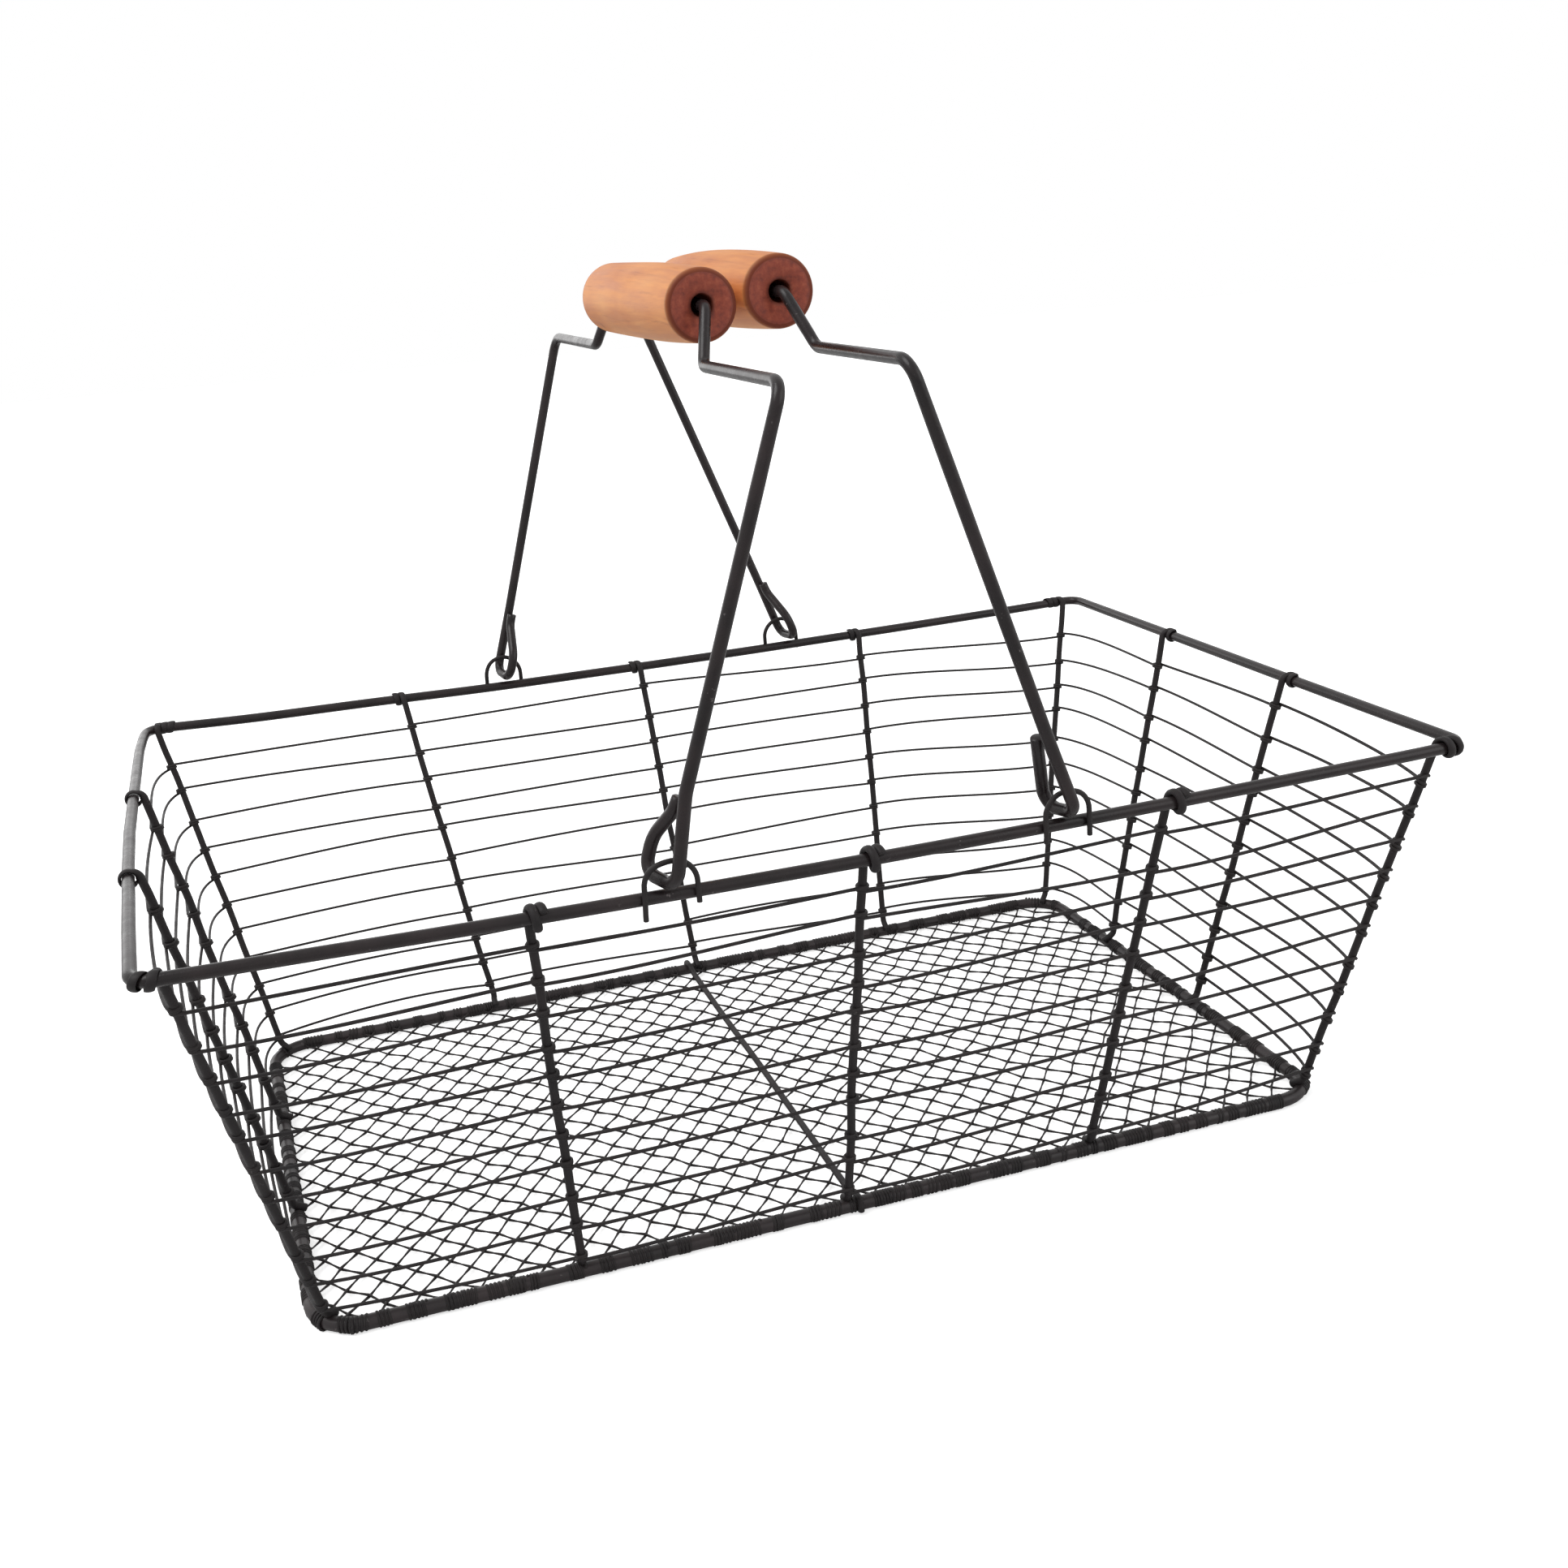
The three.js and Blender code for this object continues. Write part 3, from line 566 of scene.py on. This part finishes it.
class Rib:
    """An upright rib: a hook wound over the rim, a straight part inside it and a bent toe."""

    def __init__(self, node, rim, foot, out, foot_out, run, hook, straight=math.inf):
        self.node, self.rim, self.out, self.run, self.hook = node, rim, out, run, hook
        self.straight = straight  # how far the hook may travel before the rim's corner begins
        self.wall = node.replace("corner_rib_", "").split("_")[0]
        self.radius = RIB_R[self.wall]
        self.foot_out = unit(foot_out)
        self.rim[0] += RIM_NUDGE.get(node, 0)
        self.rim[2] = RIM_Z if out[0] else rim_height(rim[0])
        self.rim_radius = toward_front(self.rim[1], RIM_FRONT_R, RIM_R)
        foot[2] = BASE_Z
        self.top = self.rim - out * (self.rim_radius + self.radius + SEAT)
        self.toe = foot + self.foot_out * TOE_OUT + vec(0, 0, TOE_UP)
        self.tip = foot - self.foot_out * TOE_TIP_IN + vec(0, 0, TOE_TIP_UP)
        self.axis = unit(self.top - self.toe)

    def at(self, z):
        """The centre of the straight part at a height."""
        f = (self.top[2] - z) / (self.top[2] - self.toe[2])
        return self.top + (self.toe - self.top) * f

    def along_rim(self, distance):
        """The rim's centre and the direction out of it, some way along the rim."""
        if distance < self.straight:
            return self.rim + self.run * distance, self.out
        angle = min((distance - self.straight) / RIM_CORNER, math.pi / 2)
        out = self.out * math.cos(angle) + self.run * math.sin(angle)
        return self.rim + self.run * self.straight + (out - self.out) * RIM_CORNER, out

    def wire(self):
        """Path, squeeze directions and squeeze factors."""
        turn, pitch, flatness = self.hook
        path, ways, factors = [], [], []
        for angle in range(turn, -1, -HOOK_STEP):
            a = math.radians(angle)
            squeeze = 1 + (flatness - 1) * min(1, angle / HOOK_FLAT_FROM)
            radius = self.rim_radius + self.radius * squeeze + SEAT
            centre, out = self.along_rim(pitch * angle / 360)
            way = vec(0, 0, math.sin(a)) - out * math.cos(a)
            path.append(centre + way * radius)
            ways.append(way)
            factors.append(squeeze)
        rest = spaced(bent([(self.top, 0), (self.toe, TOE_BEND), (self.tip, 0)]), RIB_STEP)[1:]
        sway = wander(len(rest), *RIB_DRIFT)
        near_end = np.minimum(np.arange(1, len(rest) + 1), np.arange(len(rest))[::-1])
        rest = rest + sway * np.clip(near_end / RIB_DRIFT_FADE, 0, 1)[:, None]
        path = np.vstack([path, rest])
        ways = np.vstack([ways, np.tile(self.out, (len(rest), 1))])
        return path, ways, np.append(factors, np.ones(len(rest)))


def rib_plans():
    plans = []
    columns = [("left", -1), ("middle", 0), ("right", 1)]
    walls = [("front", -1), ("back", 1)]
    ends = [("left", -1), ("right", 1)]
    half_x, half_y = RIM_LENGTH / 2, RIM_WIDTH / 2
    to_corner = BASE_CORNER * (1 - math.sqrt(0.5))
    for wall, sy in walls:
        for column, across in columns:
            plans.append(Rib(
                f"{wall}_rib_{column}",
                vec(RIB_SHIFT[wall] + across * RIB_SPACING, sy * half_y),
                vec(FOOT_SHIFT[wall] + across * RIB_FOOT_SPACING, sy * BASE_WIDTH / 2),
                vec(0, sy), vec(0, sy), vec(-sy, 0), FRONT_HOOK if wall == "front" else BACK_HOOK,
            ))
        for end, sx in ends:
            straight = CORNER_RIB_INSET - RIM_CORNER if wall == "front" else math.inf
            plans.append(Rib(
                f"corner_rib_{wall}_{end}",
                vec(sx * (half_x - CORNER_RIB_INSET), sy * half_y),
                vec(sx * (BASE_LENGTH / 2 - to_corner), sy * (BASE_WIDTH / 2 - to_corner)),
                vec(0, sy), vec(sx, sy), vec(-sx * sy, 0), CORNER_HOOKS[wall, end], straight,
            ))
    for end, sx in ends:
        for wall, sy in walls:
            y = RIB_SHIFT[end] + sy * END_RIB_SPACING / 2
            plans.append(Rib(
                f"{end}_rib_{wall}",
                vec(sx * half_x + left_bow(sx * half_x, y), y),
                vec(sx * BASE_LENGTH / 2, FOOT_SHIFT[end] + sy * END_RIB_FOOT_SPACING / 2),
                vec(sx, 0), vec(sx, 0), vec(0, -1), LEFT_HOOK if end == "left" else BACK_HOOK,
            ))
    return plans


def add_ribs(plans):
    for plan in plans:
        path, ways, factors = plan.wire()
        wires = Wires()
        wires.add(path, plan.radius, RIB_FACETS, flat=(ways, factors))
        wires.build(f"{plan.node}_wire", "basket", rib_paint, [plan.node])


# Side wires

def turned(way, angle):
    """A level direction turned to the left, seen from above."""
    c, s = math.cos(angle), math.sin(angle)
    return vec(way[0] * c - way[1] * s, way[0] * s + way[1] * c)


def wound_round(rib, z, arrive, total):
    """A side wire's turns round a rib. They start on the outside, moving along arrive."""
    outside = turned(arrive, -math.pi / 2)
    count = int(total / WRAP_STEP)
    steep = rib.node == STEEP_RIB
    fall = STEEP_FALL if steep else WRAP_FALL
    away = rib.radius + toward_front(rib.at(z)[1], SIDE_FRONT_R, SIDE_R) - WRAP_SUNK[rib.wall]
    turn = []
    for k in range(count + 1):
        part = k / count
        way = turned(outside, total * part)
        way = unit(way - rib.axis * (way @ rib.axis))
        if steep:
            part = STEEP_SHARE * min(1, 2 * part) + (1 - STEEP_SHARE) * max(0, 2 * part - 1)
        turn.append(rib.at(z) + way * away + rib.axis * fall * (0.5 - part))
    return turn


def span(start, end, leave, arrive, handles):
    """A stretch of side wire between two ribs, as a curve with given end directions."""
    length = np.linalg.norm(end - start)
    sag = vec(0, 0, rng.normal(0, SPAN_SAG))
    a = start + leave * min(handles[0], length / 3) + sag
    b = end - arrive * min(handles[1], length / 3) + sag
    count = max(6, int(length / SPAN_STEP))
    points = []
    for k in range(1, count):
        t = k / count
        u = 1 - t
        points.append(start * u ** 3 + 3 * a * u * u * t + 3 * b * u * t * t + end * t ** 3)
    return points


def level(v):
    return unit(vec(v[0], v[1]))


def side_wire(plans, ring):
    """The path of one side wire, round the basket and back to its start."""
    z = RIM_Z - FIRST_DROP - ring * SIDE_SPACING
    ribs = sorted(plans, key=lambda rib: math.atan2(rib.at(z)[1], rib.at(z)[0]))
    count = len(ribs)
    heights = [z - SIDE_LOW.get(rib.node, 0) + rng.normal(0, SIDE_UNEVEN) for rib in ribs]
    heights = [min(max(height, z - SIDE_REACH), z + SIDE_REACH) for height in heights]
    places = [rib.at(height) for rib, height in zip(ribs, heights)]
    chords = [level(places[(i + 1) % count] - places[i]) for i in range(count)]
    lengths = [np.linalg.norm(places[(i + 1) % count] - places[i]) for i in range(count)]
    swing = math.radians(CORNER_SWING)
    leave, arrive, handles = [], [], []
    for i in range(count):
        ahead = ribs[(i + 1) % count].node
        depth = SIDE_BOW * rng.uniform(*BOW_SPREAD) * min(1, lengths[i] / RIB_FOOT_SPACING)
        if ahead == SLACK_BAY:
            lowness = max(0, ring + 1 + SLACK_LOW_COUNT - SIDE_COUNT) / SLACK_LOW_COUNT
            depth = SLACK_BOW + (SLACK_BOW_LOW - SLACK_BOW) * lowness
        bow = 4 * depth / lengths[i]
        on_end_wall = abs(chords[i][1]) > END_WALL_FROM
        from_corner = on_end_wall and ribs[i].node.startswith("corner")
        to_corner = on_end_wall and ahead.startswith("corner")
        tight = TIGHTNESS if ahead == TIGHT_RIB else 1
        leave.append(turned(chords[i], -(swing if from_corner else bow)))
        arrive.append(turned(chords[i], swing * tight if to_corner else bow))
        handles.append((
            CORNER_HANDLE if from_corner else SIDE_HANDLE,
            CORNER_HANDLE * tight if to_corner else SIDE_HANDLE,
        ))
    turns = []
    for i in range(count):
        came = arrive[i - 1]
        left = leave[i]
        swerve = math.atan2(came[0] * left[1] - came[1] * left[0], came @ left)
        turns.append(wound_round(ribs[i], heights[i], came, 2 * math.pi * WRAP_TURNS + swerve))
    path = []
    for i in range(count):
        path += turns[i]
        path += span(turns[i][-1], turns[(i + 1) % count][0], leave[i], arrive[i], handles[i])
    return np.array(path)


def add_side_wires(plans):
    for ring in range(SIDE_COUNT):
        wires = Wires()
        path = side_wire(plans, ring)
        wires.add(path, toward_front(path[:, 1], SIDE_FRONT_R, SIDE_R), SIDE_FACETS, closed=True)
        name = f"side_wire_{ring + 1:02d}"
        wires.build(f"{name}_wound", "basket", thin_paint, [name])


# Floor net and the wire across it

def past_straight(x, y):
    """How far a point is past the straight sides of the base frame, along each axis."""
    cx, cy = BASE_LENGTH / 2 - BASE_CORNER, BASE_WIDTH / 2 - BASE_CORNER
    return max(0, abs(x) - cx), max(0, abs(y) - cy)


def inside_base(x, y, margin):
    """How far a point is inside the base frame's centre line, less a margin."""
    return BASE_CORNER - math.hypot(*past_straight(x, y)) - margin


def base_outward(x, y):
    dx, dy = past_straight(x, y)
    return unit(vec(math.copysign(dx, x), math.copysign(dy, y)))


def add_net():
    wires = Wires()
    lattice = {}
    edge = BASE_R + NET_R + NET_EDGE_GAP

    def knot(i, j):
        if (i, j) not in lattice:
            lattice[i, j] = rng.normal(0, NET_UNEVEN, 2)
        dx, dy = lattice[i, j]
        x = i * CELL_X / 2
        return vec(x + dx, j * CELL_Y / 2 + dy + np.interp(x, *zip(*ROW_SWAY)))

    across = int(BASE_LENGTH / CELL_X) + 2
    up = int(BASE_WIDTH / CELL_Y) + 4
    for slope in (1, -1):
        for start in range(-2 * (across + up), 2 * (across + up) + 1, 2):
            line = []
            for j in range(-up, up + 1):
                i = start + slope * j
                for half in (0, 0.5):
                    a, b = knot(i, j), knot(i + slope, j + 1)
                    spot = a + (b - a) * half
                    weave = NET_WEAVE if (j + (slope > 0)) % 2 else -NET_WEAVE
                    spot[2] = BASE_Z + (weave if half == 0 else 0)
                    thick = NET_R * (NET_KNOT if half == 0 else NET_STRAND)
                    line.append((spot, thick))
            inside = [k for k, (p, _) in enumerate(line) if inside_base(p[0], p[1], edge) > 0]
            if len(inside) < 2:
                continue
            first, last = inside[0], inside[-1]
            core = [line[k] for k in range(first, last + 1)]
            head = edge_hook(line[first - 1][0], core[0][0])
            tail = edge_hook(line[last + 1][0], core[-1][0])
            points = head[::-1] + [p for p, _ in core] + tail
            radii = [NET_END_R] * len(head) + [r for _, r in core] + [NET_END_R] * len(tail)
            wires.add(np.array(points), radii, NET_FACETS)
    wires.build("floor_net_woven", "basket", thin_paint, ["floor_net"])


def edge_hook(beyond, inner):
    """A net end's turns on the base frame. Two points of the strand, inside and beyond, are given."""
    low, high = 0.0, 1.0
    bound = toward_front(inner[1], BOUND_FRONT_R, BOUND_R)
    limit = bound + NET_END_R - NET_END_SUNK
    for _ in range(EDGE_TRIES):
        middle = (low + high) / 2
        p = inner + (beyond - inner) * middle
        low, high = (middle, high) if inside_base(p[0], p[1], limit) > 0 else (low, middle)
    touch = inner + (beyond - inner) * low
    out = base_outward(touch[0], touch[1])
    gap = inside_base(touch[0], touch[1], 0)
    centre = vec(touch[0], touch[1], BASE_Z) + out * gap
    centre[2] = BASE_Z + bound - BASE_R
    along = vec(-out[1], out[0]) * rng.choice((-1, 1)) * rng.uniform(*NET_END_PITCH)
    turn = rng.integers(*NET_END_TURN)
    hook = []
    for angle in range(0, int(turn), NET_END_STEP):
        a = math.radians(180 - angle)
        spot = centre + out * limit * math.cos(a) + vec(0, 0, limit * math.sin(a)) + along * angle / 360
        spot[2] = max(spot[2], NET_END_R - NET_END_UNDER)
        hook.append(spot)
    return hook


def add_cross_wire():
    low = BASE_Z + CROSS_GAP + CROSS_R
    over = BASE_R + CROSS_R + SEAT
    edge = BASE_WIDTH / 2
    climb_bend, inner_bend, outer_share = CROSS_BENDS

    def hooked(x, sy):
        return [
            (vec(x, sy * (edge - CROSS_CLIMB), low), climb_bend),
            (vec(x, sy * (edge - over), BASE_Z + over), inner_bend),
            (vec(x, sy * (edge + over), BASE_Z + over), over * outer_share),
            (vec(x, sy * (edge + over), CROSS_END), 0),
        ]

    front = hooked(FOOT_SHIFT["front"] + CROSS_SHIFT, -1)
    back = hooked(FOOT_SHIFT["back"] - CROSS_SHIFT, 1)
    path = spaced(bent(front[::-1] + back), CROSS_STEP)
    path += wander(len(path), *CROSS_DRIFT) * np.array([1, 0.2, 0.2])
    wires = Wires()
    wires.add(path, CROSS_R, SMALL_FACETS)
    wires.build("floor_cross_wire_bent", "basket", rib_paint, ["floor_cross_wire"])


# Staples, bails and grips

def add_staples():
    for place, (x, _, _, _, tails) in BAIL_ENDS.items():
        end, wall = place.split("_")
        sy = -1 if wall == "front" else 1
        path = [vec(-STAPLE_HALF_SPAN, 0, -tails[0])]
        for k in range(STAPLE_ARCH + 1):
            a = math.pi * (1 - k / STAPLE_ARCH)
            rise = STAPLE_TOP - STAPLE_HALF_SPAN + STAPLE_HALF_SPAN * math.sin(a)
            path.append(vec(STAPLE_HALF_SPAN * math.cos(a), 0, rise))
        path.append(vec(STAPLE_HALF_SPAN, 0, -tails[1]))
        path = spaced(np.array(path), STAPLE_STEP)
        path[:, 0] += STAPLE_WIDER.get(place, 0) * np.minimum(path[:, 0] / STAPLE_HALF_SPAN, 0)
        path += vec(x, sy * STAPLE_PLANE, rim_height(x))
        path += wander(len(path), *STAPLE_DRIFT) * np.array([1, 0.3, 1])
        wires = Wires()
        wires.add(path, STAPLE_R, SMALL_FACETS)
        node = f"bail_staple_{wall}_{end}"
        wires.build(f"{node}_wire", "basket", thin_paint, [node])


class Bail:
    """Where a bail hangs and how it leans. Its own frame has Z along the bail."""

    def __init__(self, end):
        self.end = end
        self.arm = GRIP_V - SHORTER[end]
        front, back = BAIL_ENDS[f"{end}_front"], BAIL_ENDS[f"{end}_back"]
        front_x, back_x = front[0] + front[1], back[0] + back[1]
        x = (front_x + back_x) / 2
        self.middle = vec(x, 0, rim_height(x) + PIVOT_UP)
        self.yaw = -math.atan((back_x - front_x) / RIM_WIDTH)
        self.lean = 0.0

    def hung(self, corners, with_yaw):
        """Corners from the bail's own frame, where the bail hangs. The eyes also follow its yaw."""
        c, s = math.cos(self.lean), math.sin(self.lean)
        placed = []
        for p, bend in corners:
            spot = vec(p[0] * c + p[2] * s, p[1], p[2] * c - p[0] * s)
            if with_yaw:
                spot = turned(spot, self.yaw) + vec(0, 0, spot[2])
            placed.append((spot + self.middle, bend))
        return placed

    def eye(self, wall, sign):
        """Corners from the eye's tip to the top of the leg's lowest part."""
        _, _, turn, knee, _ = BAIL_ENDS[f"{self.end}_{wall}"]
        width, straight, side_bend, bottom_bend, low, height, tip, slant = EYES[f"{self.end}_{wall}"]
        angle = math.radians(turn)
        leg_x = (LEG_PLANE - RIM_WIDTH / 2) * math.tan(angle)

        def spot(a, up):
            return vec(-sign * (leg_x - a * math.sin(angle)), sign * (LEG_PLANE - a * math.cos(angle)), up)

        return self.hung([
            (spot(tip, height), 0), (spot(tip + slant, height - EYE_TIP_LENGTH), EYE_TIP_BEND),
            (spot(width, straight), side_bend), (spot(width, low), bottom_bend),
            (spot(0, low), bottom_bend), (spot(0, LEG_BOTTOM) + vec(knee, 0), LEG_BEND),
        ], True)

    def shoulder(self, sign):
        down = SHORTER[self.end]
        return self.hung([
            (vec(0, sign * SHOULDER_Y, SHOULDER_V - down), SHOULDER_BEND),
            (vec(0, sign * SHOULDER_INNER, SHOULDER_V - down), NECK_BEND),
            (vec(0, sign * (GRIP_LENGTH / 2 + NECK_GAP), self.arm), NECK_BEND),
        ], False)

    def path(self):
        front = self.eye("front", -1) + self.shoulder(-1)
        back = self.eye("back", 1) + self.shoulder(1)
        return spaced(bent(front + back[::-1]), BAIL_STEP)


def bail_plans():
    """Both bails, leaning so that their grips lie on each other."""
    left, right = Bail("left"), Bail("right")
    right.lean = -math.radians(RIGHT_LEAN)
    meeting = right.hung([(vec(0, 0, right.arm), 0)], False)[0][0] - left.middle
    away = math.hypot(meeting[0], meeting[2])
    spread = (left.arm ** 2 + away ** 2 - (GRIP_MIDDLE + GRIP_GAP) ** 2) / (2 * left.arm * away)
    left.lean = math.atan2(meeting[0], meeting[2]) - math.acos(spread)
    return [left, right]


def grip_rings(ends):
    """Profile of a grip as (place along it, radius, 1 where it is stained), closed on itself."""
    half = GRIP_LENGTH / 2
    mouth, bore = GRIP_MOUTH / 2, GRIP_BORE / 2
    edge, worn = GRIP_EDGE, GRIP_MOUTH_EDGE
    slope = GRIP_MOUTH_DEPTH - GRIP_MOUTH_SLOPE
    front, back = ends[0] / 2, ends[1] / 2
    rings = [(-half + GRIP_MOUTH_DEPTH, bore, 1), (-half + slope, mouth, 1)]
    rings += [(-half + worn, mouth, 1), (-half, mouth + worn, 1), (-half, front - edge, 1)]
    for k in range(1, GRIP_EDGE_RINGS):
        a = math.pi / 2 * k / GRIP_EDGE_RINGS
        rings.append((-half + edge * (1 - math.cos(a)), front - edge + edge * math.sin(a), 0))
    for k in range(GRIP_RINGS + 1):
        reach = 2 * k / GRIP_RINGS - 1
        end = front if reach < 0 else back
        radius = GRIP_MIDDLE / 2 - (GRIP_MIDDLE / 2 - end) * reach * reach
        rings.append((reach * (half - edge), radius, 0))
    for k in range(GRIP_EDGE_RINGS - 1, 0, -1):
        a = math.pi / 2 * k / GRIP_EDGE_RINGS
        rings.append((half - edge * (1 - math.cos(a)), back - edge + edge * math.sin(a), 0))
    rings += [(half, back - edge, 1), (half, mouth + worn, 1), (half - worn, mouth, 1)]
    rings += [(half - slope, mouth, 1), (half - GRIP_MOUTH_DEPTH, bore, 1)]
    return rings


def add_grip(end, centre):
    rings = grip_rings(GRIP_ENDS[end])
    angle = np.arange(GRIP_FACETS) * 2 * math.pi / GRIP_FACETS
    points = []
    for y, radius, _ in rings:
        points.append(np.stack([radius * np.cos(angle), np.full(GRIP_FACETS, y), radius * np.sin(angle)], -1))
    faces, stained = [], []
    for i in range(len(rings)):
        n = (i + 1) % len(rings)
        first, following = i * GRIP_FACETS, n * GRIP_FACETS
        for k in range(GRIP_FACETS):
            m = (k + 1) % GRIP_FACETS
            faces.append([first + m, first + k, following + k, following + m])
            stained.append(1 if rings[i][2] and rings[n][2] else 0)
    name = f"{end}_grip"
    grip = mesh_object(
        f"{name}_turned", np.vstack(points), faces, f"{end}_grip",
        [wood, stain], [name], origin=centre,
    )
    grip.data.polygons.foreach_set("material_index", stained)
    grip.data.update()


def add_bails():
    for bail in bail_plans():
        end = bail.end
        path = bail.path()
        front_leg = np.clip((bail.middle[2] + SHOULDER_V - SHOULDER_BEND - path[:, 2]) / LEG_TAPER, 0, 1)
        front_leg = front_leg * (path[:, 1] < -RIM_WIDTH / 4)
        wires = Wires()
        wires.add(path, BAIL_R + (LEG_FRONT_R - BAIL_R) * front_leg, FRAME_FACETS)
        wires.build(f"{end}_bail_bent", f"{end}_bail", frame_paint, [f"{end}_bail_wire"])
        centre = bail.hung([(vec(0, 0, bail.arm), 0)], False)[0][0]
        add_grip(end, centre)


# Stage, camera and light

def add_stage():
    floor_mesh = bpy.data.meshes.new("floor")
    corners = [(x * FLOOR_REACH, y * FLOOR_REACH, 0) for x, y in ((-1, -1), (1, -1), (1, 1), (-1, 1))]
    floor_mesh.from_pydata(corners, [], [(0, 1, 2, 3)])
    floor = bpy.data.objects.new("floor", floor_mesh)
    bpy.context.scene.collection.objects.link(floor)
    floor.location.z = FLOOR_LEVEL
    m = Nodes("pale_floor")
    m.set(Base_Color=(FLOOR_GREY, FLOOR_GREY, FLOOR_GREY, 1), Roughness=0.9, Specular_IOR_Level=0.1)
    path = m.add("ShaderNodeLightPath")
    distance = m.add("ShaderNodeVectorMath", {0: m.place}, operation="LENGTH").outputs["Value"]
    glow = m.level(distance, *FLOOR_GLOW_AT, *FLOOR_GLOW)
    lift = m.math("MULTIPLY", path.outputs["Is Camera Ray"], glow)
    m.tree.links.new(lift, m.bsdf.inputs["Emission Strength"])
    m.bsdf.inputs["Emission Color"].default_value = (1, 1, 1, 1)
    floor_mesh.materials.append(m.material)


def add_world():
    world = bpy.data.worlds.new("studio")
    bpy.context.scene.world = world
    world.use_nodes = True
    tree = world.node_tree
    path = tree.nodes.new("ShaderNodeLightPath")
    seen = path.outputs["Is Camera Ray"]
    for name in ("Is Glossy Ray", "Is Transmission Ray"):
        both = tree.nodes.new("ShaderNodeMath")
        both.operation = "MAXIMUM"
        tree.links.new(seen, both.inputs[0])
        tree.links.new(path.outputs[name], both.inputs[1])
        seen = both.outputs[0]
    strength = tree.nodes.new("ShaderNodeMapRange")
    strength.inputs["To Min"].default_value = WORLD_LIGHT
    strength.inputs["To Max"].default_value = WORLD_SEEN
    tree.links.new(seen, strength.inputs["Value"])
    tree.links.new(strength.outputs["Result"], tree.nodes["Background"].inputs["Strength"])
    tree.nodes["Background"].inputs["Color"].default_value = (1, 1, 1, 1)


def add_lamp(name, place, target, size, power):
    lamp = bpy.data.lights.new(name, "AREA")
    lamp.shape = "RECTANGLE"
    lamp.size, lamp.size_y = size
    lamp.energy = power
    obj = bpy.data.objects.new(name, lamp)
    bpy.context.scene.collection.objects.link(obj)
    obj.location = place
    obj.rotation_mode = "QUATERNION"
    obj.rotation_quaternion = (Vector(target) - Vector(place)).to_track_quat("-Z", "Y")


def add_camera():
    camera = bpy.data.cameras.new("camera")
    camera.sensor_width = SENSOR
    camera.lens = FOCAL_POINTS / PICTURE_POINTS * SENSOR
    obj = bpy.data.objects.new("camera", camera)
    bpy.context.scene.collection.objects.link(obj)
    back = -Vector(CAMERA_AHEAD).normalized()
    up = back.cross(Vector(CAMERA_RIGHT).normalized()).normalized()
    right = up.cross(back)
    rotation = Matrix((right, up, back)).transposed().to_4x4()
    obj.matrix_world = Matrix.Translation(Vector(CAMERA_PLACE)) @ rotation
    bpy.context.scene.camera = obj


ribs = rib_plans()
add_frames()
add_ribs(ribs)
add_side_wires(ribs)
add_net()
add_cross_wire()
add_staples()
add_bails()
add_stage()
add_world()
for lamp_name, settings in LAMPS.items():
    add_lamp(lamp_name, *settings)
add_camera()
bpy.context.scene.view_settings.view_transform = "Standard"

bpy.context.view_layer.update()
